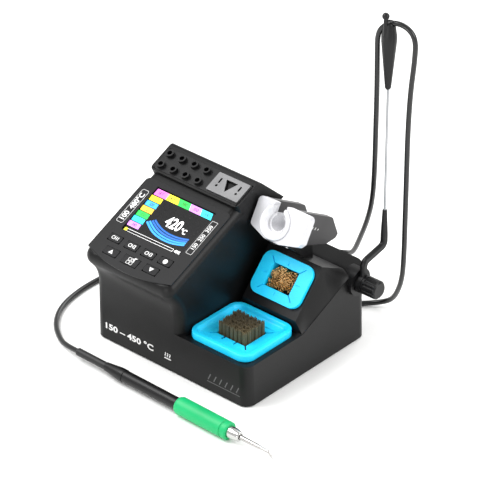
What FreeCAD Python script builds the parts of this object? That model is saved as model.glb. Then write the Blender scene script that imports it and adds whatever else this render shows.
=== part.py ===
import FreeCAD, Part
import Sketcher
import math
import os
from FreeCAD import Placement, Rotation, Vector

# A bench soldering station: a charcoal case with a raised control tower, two cleaning pots,
# an iron holder, a tilting cord arm, and the iron itself lying in front on its cord.
# Millimetres, +X right, +Y to the back, +Z up. The origin is on the table under the middle
# of the case. Sizes in the sheet named "left ..." and "front ..." are measured from the
# case's front left corner; the function at() turns them into the model's own frame.

doc = FreeCAD.newDocument("SolderingStation")
sheet = doc.addObject("Spreadsheet::Sheet", "Dims")

DIMENSIONS = [
    # case
    ("case_width", 150.0, "outside width of the case"),
    ("case_depth", 132.5, "outside depth at the table"),
    ("wall", 2.5, "moulded wall of the case"),
    ("foot_gap", 1.0, "how far the case stands off the table"),
    ("case_corner", 8.0, "radius of the case's upright corners"),
    ("side_draft", 1.4, "draft of the right wall, degrees"),
    ("tower_width", 86.0, "width of the control tower"),
    ("panel_tilt", 24.2, "slope of the control panel, degrees"),
    ("panel_height", 85.6, "panel height above the front foot line"),
    ("bend_height", 58.0, "height where the tower's front starts to lean out"),
    ("bend_radius", 30.0, "radius of the lean"),
    ("lip_reach", 16.0, "overhang of the panel's front lip at its middle"),
    ("lip_sag", 5.3, "how far the lip curves back at its ends"),
    ("tower_top", 85.0, "distance back to the tower's top edge"),
    ("back_slope", 42.0, "slope behind the tower's top, degrees"),
    ("deck_height", 34.5, "height of the front deck"),
    ("deck_depth", 61.0, "depth of the front deck"),
    ("shelf_height", 63.2, "height of the rear shelf"),
    ("shelf_start", 118.0, "distance back to the shelf"),
    ("hump_left", 91.0, "left side of the rear pot's pedestal"),
    ("hump_right", 142.0, "right edge of the pedestal's top"),
    ("hump_top", 90.5, "distance back to the pedestal's top edge"),
    ("hump_back", 114.0, "distance back to the pedestal's foot"),
    # panel
    ("overlay_margin", 2.0, "case edge left showing round the overlay"),
    ("overlay_top", 62.7, "overlay's upper edge, up the slope"),
    ("overlay_thick", 1.0, "overlay thickness"),
    ("overlay_sunk", 0.8, "depth of its recess"),
    ("fit_gap", 0.15, "gap round a fitted piece, each side"),
    ("slide_gap", 0.3, "gap round a moving piece, each side"),
    ("screen_left", 44.0, "screen centre from the case's left side"),
    ("screen_up", 36.7, "screen centre up the slope"),
    ("screen_width", 57.6, "picture width of a 2.8 inch display"),
    ("screen_height", 43.2, "picture height of a 2.8 inch display"),
    ("screen_frame", 3.0, "display frame round the picture"),
    ("lens_thick", 1.6, "display lens thickness"),
    ("display_thick", 3.4, "display module thickness"),
    ("board_drop", 11.0, "control board below the panel surface"),
    ("board_thick", 1.6, "circuit board thickness"),
    ("key_proud", 0.45, "key top above the overlay"),
    ("key_travel", 0.5, "key travel"),
    ("key_flange", 1.2, "flange round a key behind the panel"),
    ("key_width", 11.5, "upper keys"),
    ("key_height", 6.2, "upper keys"),
    ("arrow_width", 12.5, "arrow keys"),
    ("arrow_height", 6.6, "arrow keys"),
    ("set_width", 14.5, "settings key"),
    ("set_height", 7.4, "settings key"),
    ("switch_side", 6.0, "tact switch body"),
    # tray
    ("block_low", 67.6, "lower edge of the raised block, up the slope"),
    ("block_rise", 3.3, "raised block above the panel"),
    ("tray_left", 2.6, "tray's left edge"),
    ("tray_right", 84.4, "tray's right edge"),
    ("tray_low", 69.4, "tray's lower edge, up the slope"),
    ("tray_high", 89.4, "tray's upper edge, up the slope"),
    ("tray_thick", 1.3, "tray insert thickness"),
    ("tray_proud", 0.3, "tray insert above the block"),
    ("boss_radius", 3.3, "cartridge boss"),
    ("boss_rise", 2.8, "boss above the tray"),
    ("boss_hole", 1.9, "cartridge hole radius"),
    ("boss_pitch", 12.1, "boss spacing across"),
    ("boss_first", 7.4, "first boss from the case's left side"),
    ("boss_row_low", 73.6, "lower row, up the slope"),
    ("boss_row_high", 84.6, "upper row, up the slope"),
    ("plate_width", 30.0, "tip puller plate"),
    ("plate_height", 17.2, "tip puller plate"),
    ("plate_thick", 1.5, "tip puller plate"),
    ("plate_left", 68.7, "plate centre from the left"),
    ("plate_up", 79.4, "plate centre up the slope"),
    # pots
    ("pot_width", 57.6, "front pot flange"),
    ("pot_depth", 55.5, "front pot flange"),
    ("pot_left", 115.6, "front pot centre"),
    ("pot_front", 32.4, "front pot centre"),
    ("pot_flange", 6.0, "front pot flange thickness"),
    ("pot_top", 39.6, "front pot top face"),
    ("pot_cup", 40.0, "side of the cup under the flange"),
    ("pot_cup_depth", 20.0, "depth of the cup under the flange"),
    ("pot_skin", 2.2, "silicone thickness"),
    ("brush_width", 27.0, "brush block across"),
    ("brush_depth", 23.0, "brush block front to back"),
    ("brush_top", 46.5, "height of the bristle ends"),
    ("rear_width", 46.5, "rear pot flange"),
    ("rear_height", 34.0, "rear pot flange"),
    ("rear_tilt", 47.7, "slope of the rear pot"),
    ("rear_left", 116.6, "rear pot centre"),
    ("rear_front", 74.6, "rear pot centre"),
    ("rear_up", 62.3, "rear pot centre"),
    ("rear_flange", 3.0, "rear pot flange thickness"),
    ("rear_cup_width", 33.0, "cup behind the flange"),
    ("rear_cup_height", 25.0, "cup behind the flange"),
    ("rear_cup_depth", 13.0, "cup behind the flange"),
    ("wool_width", 24.0, "opening for the brass wool"),
    ("wool_height", 18.0, "opening for the brass wool"),
    # holder
    ("holder_left", 108.3, "holder bore centre"),
    ("holder_front", 76.7, "holder bore centre on its front face"),
    ("holder_up", 105.8, "holder bore centre on its front face"),
    ("holder_dip", 30.0, "slope of the bore below level, degrees"),
    ("face_thick", 7.0, "holder front plate"),
    ("collar_radius", 13.2, "holder collar outside"),
    ("collar_bore", 7.6, "holder collar throat"),
    ("collar_proud", 2.2, "collar in front of the plate"),
    ("slot_width", 11.0, "slot for the cord"),
    ("cheek_out", 16.3, "cradle half width"),
    ("cheek_in", 10.3, "cradle channel half width"),
    ("sleeve_radius", 8.2, "inner sleeve outside"),
    ("sleeve_bore", 6.0, "inner sleeve bore"),
    # cord arm
    ("arm_front", 121.8, "clamp axis from the case's front"),
    ("arm_up", 52.0, "clamp axis height"),
    ("arm_left", 154.8, "plane the arm swings in"),
    ("arm_thick", 4.4, "thickness of the arm's eye"),
    ("eye_radius", 7.4, "arm eye"),
    ("clamp_radius", 11.0, "clamp boss"),
    ("knob_radius", 7.2, "clamp knob"),
    ("knob_length", 13.0, "clamp knob"),
    ("stud_radius", 2.5, "clamp stud, M5"),
    ("arm_radius", 2.7, "arm section"),
    ("arm_offset", 22.8, "arm's step to the back"),
    ("arm_step", 18.2, "height of the step above the clamp axis"),
    ("rod_radius", 0.9, "steel rod"),
    ("rod_bottom", 96.0, "rod end inside the elbow"),
    ("rod_top", 214.0, "rod end inside the hook"),
    ("socket_top", 104.5, "elbow's upper end"),
    ("hook_bottom", 205.0, "hook's lower end"),
    ("hook_top", 258.5, "hook's upper end"),
    ("hook_radius", 5.7, "hook at its widest"),
    # cord
    ("cord_radius", 2.0, "handle cord"),
    # iron
    ("tail_left", 13.2, "tail end of the iron"),
    ("tail_front", -32.6, "tail end of the iron"),
    ("iron_turn", -1.0, "direction of the iron on the table, degrees"),
    ("grip_radius", 6.8, "green grip"),
    ("shaft_radius", 4.6, "handle tube"),
    ("boot_radius", 2.95, "strain relief"),
    ("boot_flare", 4.95, "flared end of the strain relief"),
    ("boot_length", 48.0, "strain relief length"),
    ("grip_start", 101.0, "grip's rear end from the tail"),
    ("grip_end", 151.5, "grip's front end from the tail"),
    ("nose_end", 161.5, "ferrule's front end from the tail"),
    ("tip_end", 194.0, "tip's end from the tail"),
    ("cartridge_radius", 1.7, "heater cartridge"),
    # rear
    ("inlet_left", 27.0, "mains inlet centre"),
    ("inlet_up", 27.0, "mains inlet centre"),
    ("rocker_left", 27.0, "mains switch centre"),
    ("rocker_up", 54.0, "mains switch centre"),
    ("socket_left", 69.0, "handle socket centre"),
    ("socket_up", 22.0, "handle socket centre"),
    ("socket_radius", 7.5, "handle socket thread"),
    ("screw_radius", 1.45, "M3 case screw"),
]
for line, (alias, value, note) in enumerate(DIMENSIONS, start=1):
    sheet.set("A%d" % line, note)
    sheet.set("B%d" % line, str(value))
    sheet.setAlias("B%d" % line, alias)
doc.recompute()

X_AXIS = Vector(1, 0, 0)
Y_AXIS = Vector(0, 1, 0)
Z_AXIS = Vector(0, 0, 1)


# ---------------------------------------------------------------- sizes and places
def amount(text):
    """The value of a sum of products such as 'case_width / 2 - wall', read from the sheet."""
    total = 0.0
    sign = 1.0
    term = None
    divide = False
    for word in str(text).split():
        if word in ("+", "-"):
            if term is not None:
                total += sign * term
            sign = 1.0 if word == "+" else -1.0
            term = None
            divide = False
        elif word in ("*", "/"):
            divide = word == "/"
        else:
            value = float(sheet.get(word)) if word[0].isalpha() else float(word)
            if term is None:
                term = value
            elif divide:
                term /= value
            else:
                term *= value
    return total + sign * term


def formula(text):
    """The same sum as a FreeCAD expression on the sheet."""
    words = []
    for word in str(text).split():
        words.append("Dims." + word if word[0].isalpha() else word)
    return " ".join(words)


def terms(text):
    """The signed products of a sum, as (sign, product) pairs of text."""
    found = []
    sign = "+"
    words = []
    for word in str(text).split():
        if word in ("+", "-"):
            if words:
                found.append((sign, " ".join(words)))
            sign = word
            words = []
        else:
            words.append(word)
    found.append((sign, " ".join(words)))
    return found


def half(text):
    """Half of a sum, term by term."""
    return join_terms([(sign, product + " / 2") for sign, product in terms(text)])


def join_terms(pairs):
    words = ["0"]
    for sign, product in pairs:
        words += [sign, product]
    return " ".join(words)


def plus(first, second):
    return join_terms(terms(first) + terms(second))


def minus(first, second):
    flipped = []
    for sign, product in terms(second):
        flipped.append(("-" if sign == "+" else "+", product))
    return join_terms(terms(first) + flipped)


def at(left, front, up):
    """A point given from the case's front left corner on the table."""
    return Vector(
        amount(left) - amount("case_width / 2"),
        amount(front) - amount("case_depth / 2"),
        amount(up),
    )


def turned(degrees, axis=X_AXIS):
    return Rotation(axis, degrees)


PANEL_TURN = turned(amount("panel_tilt"))
HOLDER_TURN = turned(90.0 - amount("holder_dip"))
REAR_TURN = turned(amount("rear_tilt"))
SIDEWAYS = turned(90.0, Y_AXIS)
BACKWARDS = turned(-90.0)


def on_panel(left, up_slope, lift=0.0):
    """A placement on the control panel's surface, its Z axis out of the panel."""
    foot = at("0", "0", "panel_height")
    step = PANEL_TURN.multVec(Vector(amount(left), amount(up_slope), amount(lift)))
    return Placement(foot + step, PANEL_TURN)


def on_holder(across, up, out):
    """A placement in the holder's frame: Z comes out of the bore, Y is up the face."""
    foot = at("holder_left", "holder_front", "holder_up")
    step = HOLDER_TURN.multVec(Vector(amount(across), amount(up), amount(out)))
    return Placement(foot + step, HOLDER_TURN)


def on_rear_pot(across, up, out):
    """A placement on the rear pot's sloping face, Z out of it."""
    foot = at("rear_left", "rear_front", "rear_up")
    step = REAR_TURN.multVec(Vector(amount(across), amount(up), amount(out)))
    return Placement(foot + step, REAR_TURN)


IRON_TURN = Rotation(Z_AXIS, amount("iron_turn")).multiply(SIDEWAYS)


def on_iron(along):
    """A placement on the iron's axis, Z towards the tip."""
    foot = at("tail_left", "tail_front", "grip_radius")
    step = IRON_TURN.multVec(Vector(0, 0, amount(along)))
    return Placement(foot + step, IRON_TURN)


# ---------------------------------------------------------------- parametric pieces
def bind(piece, **sizes):
    for name, text in sizes.items():
        piece.setExpression(name, formula(text))
    return piece


def origin_plane(body, role):
    for feature in body.Origin.OriginFeatures:
        if feature.Role == role:
            return feature
    raise ValueError(role)


def sketch_on(body, name, role="XY_Plane", lift=0.0):
    sketch = body.newObject("Sketcher::SketchObject", name)
    sketch.AttachmentSupport = [(origin_plane(body, role), "")]
    sketch.MapMode = "FlatFace"
    sketch.AttachmentOffset = Placement(Vector(0, 0, lift), Rotation())
    return sketch


def tie(sketch, kind, first, second, text):
    """A distance from the sketch's origin to a point, bound to the sheet."""
    value = amount(text)
    if abs(value) < 1e-9:
        axis = -2 if kind == "DistanceX" else -1
        sketch.addConstraint(Sketcher.Constraint("PointOnObject", first, second, axis))
        return
    index = sketch.addConstraint(Sketcher.Constraint(kind, -1, 1, first, second, value))
    sketch.setExpression("Constraints[%d]" % index, formula(text))


def polygon(sketch, corners):
    """A closed outline through corners given as pairs of sums on the sheet."""
    first = sketch.GeometryCount
    spots = [Vector(amount(x), amount(y), 0) for x, y in corners]
    count = len(spots)
    for index in range(count):
        sketch.addGeometry(Part.LineSegment(spots[index], spots[(index + 1) % count]), False)
    for index in range(count):
        following = first + (index + 1) % count
        joint = Sketcher.Constraint("Coincident", first + index, 2, following, 1)
        sketch.addConstraint(joint)
    for index, (x, y) in enumerate(corners):
        tie(sketch, "DistanceX", first + index, 1, x)
        tie(sketch, "DistanceY", first + index, 1, y)


def rectangle(sketch, width, height, across="0", up="0"):
    left = minus(across, half(width))
    right = plus(across, half(width))
    low = minus(up, half(height))
    high = plus(up, half(height))
    polygon(sketch, [(left, low), (right, low), (right, high), (left, high)])


def circle(sketch, radius, across="0", up="0"):
    spot = Vector(amount(across), amount(up), 0)
    index = sketch.addGeometry(Part.Circle(spot, Z_AXIS, amount(radius)), False)
    size = sketch.addConstraint(Sketcher.Constraint("Radius", index, amount(radius)))
    sketch.setExpression("Constraints[%d]" % size, formula(radius))
    tie(sketch, "DistanceX", index, 3, across)
    tie(sketch, "DistanceY", index, 3, up)


def new_body(label):
    body = doc.addObject("PartDesign::Body", label)
    body.Label = label
    return body


def pad(body, sketch, length, reverse=False):
    feature = body.newObject("PartDesign::Pad", sketch.Name + "_pad")
    feature.Profile = sketch
    feature.Reversed = reverse
    bind(feature, Length=length)
    doc.recompute()
    return feature


def pocket(body, sketch, depth, reverse=False):
    """A cut of the stated depth; stops if it takes nothing away."""
    before = body.Shape.Volume
    feature = body.newObject("PartDesign::Pocket", sketch.Name + "_pocket")
    feature.Profile = sketch
    feature.Reversed = reverse
    bind(feature, Length=depth)
    doc.recompute()
    if not body.Shape.Volume < before - 1e-6:
        raise ValueError("%s cuts nothing" % feature.Name)
    return feature


def revolution(body, sketch):
    """A full turn about the sketch's own vertical axis."""
    feature = body.newObject("PartDesign::Revolution", sketch.Name + "_turned")
    feature.Profile = sketch
    feature.ReferenceAxis = (sketch, ["V_Axis"])
    feature.Angle = 360.0
    doc.recompute()
    return feature


def upright(edge):
    """True for a straight edge along the shape's own Z."""
    if not isinstance(edge.Curve, Part.Line):
        return False
    return abs(abs(edge.Curve.Direction.z) - 1.0) < 1e-6


def round_uprights(body, radius, chosen=upright):
    """Rounds the chosen edges of the body's last feature."""
    tip = body.Tip
    names = []
    for index, edge in enumerate(tip.Shape.Edges, start=1):
        if chosen(edge):
            names.append("Edge%d" % index)
    feature = body.newObject("PartDesign::Fillet", tip.Name + "_round")
    feature.Base = (tip, names)
    bind(feature, Radius=radius)
    doc.recompute()
    return feature


def slab(label, width, height, thick, corner=None, place=None):
    """A plate with rounded corners, centred on its placement and standing up from it."""
    body = new_body(label)
    sketch = sketch_on(body, label + "_outline")
    rectangle(sketch, width, height)
    pad(body, sketch, thick)
    if corner is not None:
        round_uprights(body, corner)
    if place is not None:
        body.Placement = place
    return body


def turned_piece(label, outline, place):
    """A turned piece: the outline's corners are (radius, height) pairs, closed on itself."""
    body = new_body(label)
    sketch = sketch_on(body, label + "_section", "XZ_Plane")
    polygon(sketch, outline)
    revolution(body, sketch)
    body.Placement = place
    return body


def cylinder(label, radius, height, place):
    piece = doc.addObject("Part::Cylinder", label)
    piece.Label = label
    bind(piece, Radius=radius, Height=height)
    piece.Placement = place
    return piece


def block(label, length, width, height, place):
    """A box centred on its placement in X and Y, standing up from it."""
    piece = doc.addObject("Part::Box", label)
    piece.Label = label
    bind(piece, Length=length, Width=width, Height=height)
    corner = Vector(-amount(length) / 2, -amount(width) / 2, 0)
    piece.Placement = Placement(place.multVec(corner), place.Rotation)
    return piece


def cut(label, base, *tools):
    piece = doc.addObject("Part::Cut", label)
    piece.Label = label
    piece.Base = base
    if len(tools) > 1:
        joined = doc.addObject("Part::MultiFuse", label + "_tools")
        joined.Shapes = list(tools)
        piece.Tool = joined
    else:
        piece.Tool = tools[0]
    doc.recompute()
    return piece


def fuse(label, *pieces):
    piece = doc.addObject("Part::MultiFuse", label)
    piece.Label = label
    piece.Shapes = list(pieces)
    doc.recompute()
    return piece


def feature(label, shape):
    piece = doc.addObject("Part::Feature", label)
    piece.Label = label
    piece.Shape = shape
    return piece


# ---------------------------------------------------------------- outlines and paths
def corner_arc(before, corner, after, trim):
    """The two tangent points and the middle of an arc that rounds a corner."""
    back = (before - corner).normalize()
    ahead = (after - corner).normalize()
    half = back.getAngle(ahead) / 2
    inward = (back + ahead).normalize()
    radius = trim * math.tan(half)
    reach = trim / math.cos(half)
    middle = corner + inward * (reach - radius)
    return corner + back * trim, middle, corner + ahead * trim, radius


def rounded_outline(corners):
    """A closed wire through (x, y, z, radius) corners, each rounded by its radius."""
    spots = [Vector(*corner[:3]) for corner in corners]
    count = len(spots)
    marks = []
    for index, corner in enumerate(corners):
        before = spots[index - 1]
        after = spots[(index + 1) % count]
        spot = spots[index]
        if corner[3] <= 0:
            marks.append((spot, None, spot))
            continue
        half = (before - spot).getAngle(after - spot) / 2
        trim = corner[3] / math.tan(half)
        start, middle, end, _ = corner_arc(before, spot, after, trim)
        marks.append((start, middle, end))
    edges = []
    for index, (start, middle, end) in enumerate(marks):
        if middle is not None:
            edges.append(Part.Arc(start, middle, end).toShape())
        following = marks[(index + 1) % count][0]
        if end.distanceToPoint(following) > 1e-6:
            edges.append(Part.LineSegment(end, following).toShape())
    return Part.Wire(edges)


def prism(wire, along):
    return Part.Face(wire).extrude(along)


def side_prism(profile, low, high):
    """Extrudes a side view of (front, up, radius) corners from one X to another."""
    corners = []
    for front, up, radius in profile:
        spot = at("0", "0", "0")
        corners.append((spot.x + low, spot.y + front, up, radius))
    return prism(rounded_outline(corners), Vector(high - low, 0, 0))


def tube_along(points, radius):
    """A round tube on straight runs joined by tangent arcs, and its arcs' radii."""
    edges = []
    radii = []
    start = points[0]
    last = len(points) - 1
    for index in range(1, last):
        before = points[index - 1]
        corner = points[index]
        after = points[index + 1]
        shorter = min((corner - before).Length, (after - corner).Length)
        first, middle, second, bend = corner_arc(before, corner, after, 0.45 * shorter)
        edges.append(Part.LineSegment(start, first).toShape())
        edges.append(Part.Arc(first, middle, second).toShape())
        radii.append(bend)
        start = second
    edges.append(Part.LineSegment(start, points[last]).toShape())
    path = Part.Wire(edges)
    ahead = points[1] - points[0]
    ring = Part.Wire([Part.Circle(points[0], ahead, radius).toShape()])
    solid = path.makePipeShell([ring], True, False)
    wanted = math.pi * radius * radius * path.Length
    if abs(solid.Volume - wanted) > 0.01 * wanted:
        raise ValueError("a cord tube has the wrong volume")
    return solid, radii, path.Length


# ---------------------------------------------------------------- the case
def panel_line(front):
    """Height of the panel's plane at a distance back from the case's front."""
    return amount("panel_height") + front * math.tan(math.radians(amount("panel_tilt")))


def tower_profile(floor, raised=0.0):
    """Side view of the tower: (front, up, radius) corners; raised lifts its sloping top."""
    reach = amount("lip_reach")
    top = amount("tower_top")
    depth = amount("case_depth")
    fall = (depth - top) * math.tan(math.radians(amount("back_slope")))
    return [
        (0.0, floor, 0.0),
        (0.0, amount("bend_height"), amount("bend_radius")),
        (-reach, panel_line(-reach) - 1.8, 0.0),
        (-reach, panel_line(-reach) + raised, 0.0),
        (top, panel_line(top) + raised, 4.0),
        (depth, panel_line(top) + raised - fall, 6.0),
        (depth, floor, 0.0),
    ]


def deck_profile(floor):
    """Side view of the low right half: deck, rising side wall and rear shelf."""
    depth = amount("case_depth")
    return [
        (0.0, floor, 0.0),
        (0.0, amount("deck_height"), 0.0),
        (amount("deck_depth"), amount("deck_height"), 0.0),
        (amount("shelf_start"), amount("shelf_height") - 2.4, 20.0),
        (depth, amount("shelf_height"), 0.0),
        (depth, floor, 0.0),
    ]


def inset_prism(profile, low, high, inset):
    """A side view extruded between two X positions, shrunk all round by the inset."""
    corner = at("0", "0", "0")
    points = []
    for front, up, radius in profile:
        points.append((corner.x + low + inset, corner.y + front, up, radius))
    wire = rounded_outline(points)
    if inset > 0:
        wire = wire.makeOffset2D(-inset)
    return prism(wire, Vector(high - low - 2 * inset, 0, 0))


def long_uprights(solid, x, y_limits):
    """Edges of a prism on the plane of one X that run up it at the front or the back."""
    found = []
    for edge in solid.Edges:
        box = edge.BoundBox
        on_side = abs(box.XMin - x) < 1e-3 and abs(box.XMax - x) < 1e-3
        inside = box.YMin >= y_limits[0] - 1e-3 and box.YMax <= y_limits[1] + 1e-3
        if on_side and inside and box.ZLength > 0.5:
            found.append(edge)
    return found


def tower_solid(inset):
    """The tower's outside, or its hollow when it is inset by the wall."""
    width = amount("tower_width")
    floor = amount("foot_gap") - (10.0 if inset > 0 else 0.0)
    solid = inset_prism(tower_profile(floor), 0.0, width, inset)
    corner = at("0", "0", "0")
    radius = amount("case_corner") - inset
    front = (corner.y - amount("lip_reach") + inset, corner.y + inset)
    back = (corner.y + amount("case_depth") - inset, corner.y + amount("case_depth") - inset)
    left = corner.x + inset
    right = corner.x + width - inset
    for x, span in ((left, front), (right, front), (left, back)):
        solid = solid.makeFillet(radius, long_uprights(solid, x, span))
    # the lip is bowed: only what lies behind a wide upright cylinder is kept
    sag = amount("lip_sag")
    half = width / 2
    bow = (half * half + sag * sag) / (2 * sag)
    centre = Vector(corner.x + half, corner.y - amount("lip_reach") + bow, -50.0)
    drum = Part.makeCylinder(bow - inset, 300.0, centre)
    reach = Vector(corner.x - 10.0, centre.y, -50.0)
    rear = Part.makeBox(width + 20.0, 300.0, 300.0, reach)
    return solid.common(drum.fuse(rear))


def raised_block():
    """The block behind the panel that carries the tip tray, with rounded front corners."""
    width = amount("tower_width")
    lift = amount("block_rise") / math.cos(math.radians(amount("panel_tilt")))
    high = inset_prism(tower_profile(amount("deck_height"), lift), 0.0, width, 0.0)
    low = amount("block_low")
    plan = rounded_outline(
        [(0, low, 0, 4.0), (width, low, 0, 4.0), (width, low + 80, 0, 0), (0, low + 80, 0, 0)]
    )
    keep = prism(plan, Vector(0, 0, 60))
    keep.Placement = on_panel("0", "0", "0 - 30")
    corner = at("0", "0", "0")
    back = Vector(corner.x, corner.y + amount("case_depth") - amount("case_corner"), 0)
    block = high.common(keep)
    round_back = Part.makeBox(amount("case_corner"), amount("case_corner"), 200, back)
    pillar_spot = Vector(back.x + amount("case_corner"), back.y, 0)
    round_back = round_back.cut(Part.makeCylinder(amount("case_corner"), 200, pillar_spot))
    return block.cut(round_back)


def right_side(inset):
    """The low right half of the case, or its hollow when inset by the wall."""
    width = amount("case_width")
    low = amount("tower_width") - 12.0
    floor = amount("foot_gap") - (10.0 if inset > 0 else 0.0)
    corner = at("0", "0", "0")
    draft = math.radians(amount("side_draft"))
    solid = inset_prism(deck_profile(floor), low, width + inset, inset)
    # the right wall leans in by the draft
    lean = Part.makeBox(40.0, 400.0, 260.0, Vector(0, -200, -60))
    lean.rotate(Vector(0, 0, 0), Y_AXIS, -math.degrees(draft))
    lean.translate(Vector(corner.x + width - inset, 0, 0))
    solid = solid.cut(lean)
    radius = amount("case_corner") - inset
    edges = []
    for edge in solid.Edges:
        box = edge.BoundBox
        at_right = box.XMin > corner.x + width - inset - 6.0
        at_front = box.YMax < corner.y + inset + 1e-3
        at_back = box.YMin > corner.y + amount("case_depth") - inset - 1e-3
        if at_right and (at_front or at_back) and box.ZLength > 20.0:
            edges.append(edge)
    return solid.makeFillet(radius, edges)


def hump_solid(inset):
    """The pedestal under the rear pot: a ridge whose right side falls to the case wall."""
    corner = at("0", "0", "0")
    tilt = math.radians(amount("rear_tilt"))
    sunk = amount("rear_flange")
    face_y = amount("rear_front") + sunk * math.sin(tilt)
    face_z = amount("rear_up") - sunk * math.cos(tilt)
    front = amount("deck_depth")
    top = amount("hump_top")
    back = amount("hump_back")
    low_z = face_z - (face_y - front) * math.tan(tilt)
    high_z = face_z + (top - face_y) * math.tan(tilt)
    deck = amount("deck_height")
    base = deck - 14.0
    rise = (amount("shelf_height") - 2.4 - deck) / (amount("shelf_start") - front)
    ridge = [(front, base), (front, low_z), (top, high_z), (back, amount("shelf_height")), (back, base)]
    wall = [
        (front, base),
        (front, deck - 0.4),
        (top, deck + (top - front) * rise - 0.4),
        (back, deck + (back - front) * rise - 0.4),
        (back, base),
    ]
    left_x = corner.x + amount("hump_left") + inset
    ridge_x = corner.x + amount("hump_right") - inset
    wall_x = corner.x + amount("case_width") - 1.4 - 2 * inset

    def ring(x, outline):
        spots = [Vector(x, corner.y + y, z) for y, z in outline]
        return Part.makePolygon(spots + [spots[0]])

    if inset > 0:
        inner = ring(left_x, ridge).makeOffset2D(-inset)
        return prism(inner, Vector(ridge_x - left_x, 0, 0))
    middle = prism(ring(left_x, ridge), Vector(ridge_x - left_x, 0, 0))
    flank = Part.makeLoft([ring(ridge_x, ridge), ring(wall_x, wall)], True, True)
    return middle.fuse(flank)


def box_at(left, front, up, width, depth, height):
    """A plain box centred on (left, front) and standing on `up`, as a shape."""
    corner = at(left, front, up)
    return Part.makeBox(width, depth, height, corner - Vector(width / 2, depth / 2, 0))


def placed_box(place, width, height, low, high):
    """A plain box centred on a placement, from one height on its axis to another."""
    shape = Part.makeBox(width, height, high - low, Vector(-width / 2, -height / 2, low))
    shape.Placement = place
    return shape


def placed_cylinder(place, radius, low, high):
    shape = Part.makeCylinder(radius, high - low, Vector(0, 0, low))
    shape.Placement = place
    return shape


TRAY_LEFT_RIGHT = "tray_left / 2 + tray_right / 2"
TRAY_LOW_HIGH = "tray_low / 2 + tray_high / 2"
BOARD_POSTS = [(9.2, -3.5), (76.8, -3.5), (9.2, 56.0), (78.4, 56.0)]

KEYS = [
    # name, left, up the slope, width, height
    ("key_ch1", 17.4, 5.7, "key_width", "key_height"),
    ("key_ch2", 33.9, 5.6, "key_width", "key_height"),
    ("key_ch3", 50.2, 5.6, "key_width", "key_height"),
    ("key_power", 66.5, 5.9, "key_width", "key_height"),
    ("key_up", 22.8, -5.4, "arrow_width", "arrow_height"),
    ("key_settings", 41.9, -5.6, "set_width", "set_height"),
    ("key_down", 61.2, -4.8, "arrow_width", "arrow_height"),
]

# screw bosses inside the case, just far enough from a wall to merge with it
BOSS_RADIUS = 4.0
BOSSES = [
    (amount("wall") + BOSS_RADIUS - 0.4, 16.0),
    (amount("wall") + BOSS_RADIUS - 0.4, amount("case_depth") - 16.0),
    (amount("case_width") - amount("wall") - BOSS_RADIUS - 0.4, 66.0),
    (amount("case_width") - amount("wall") - BOSS_RADIUS - 0.4, amount("case_depth") - 30.0),
]
PLATE_TOP = amount("foot_gap") + 2.6


def front_pot_places():
    flange_low = amount("pot_top") - amount("pot_flange")
    return flange_low, flange_low - amount("pot_cup_depth")


def case_outside():
    tower = tower_solid(0.0).fuse(raised_block())
    return tower.fuse(right_side(0.0)).fuse(hump_solid(0.0)).removeSplitter()


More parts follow.
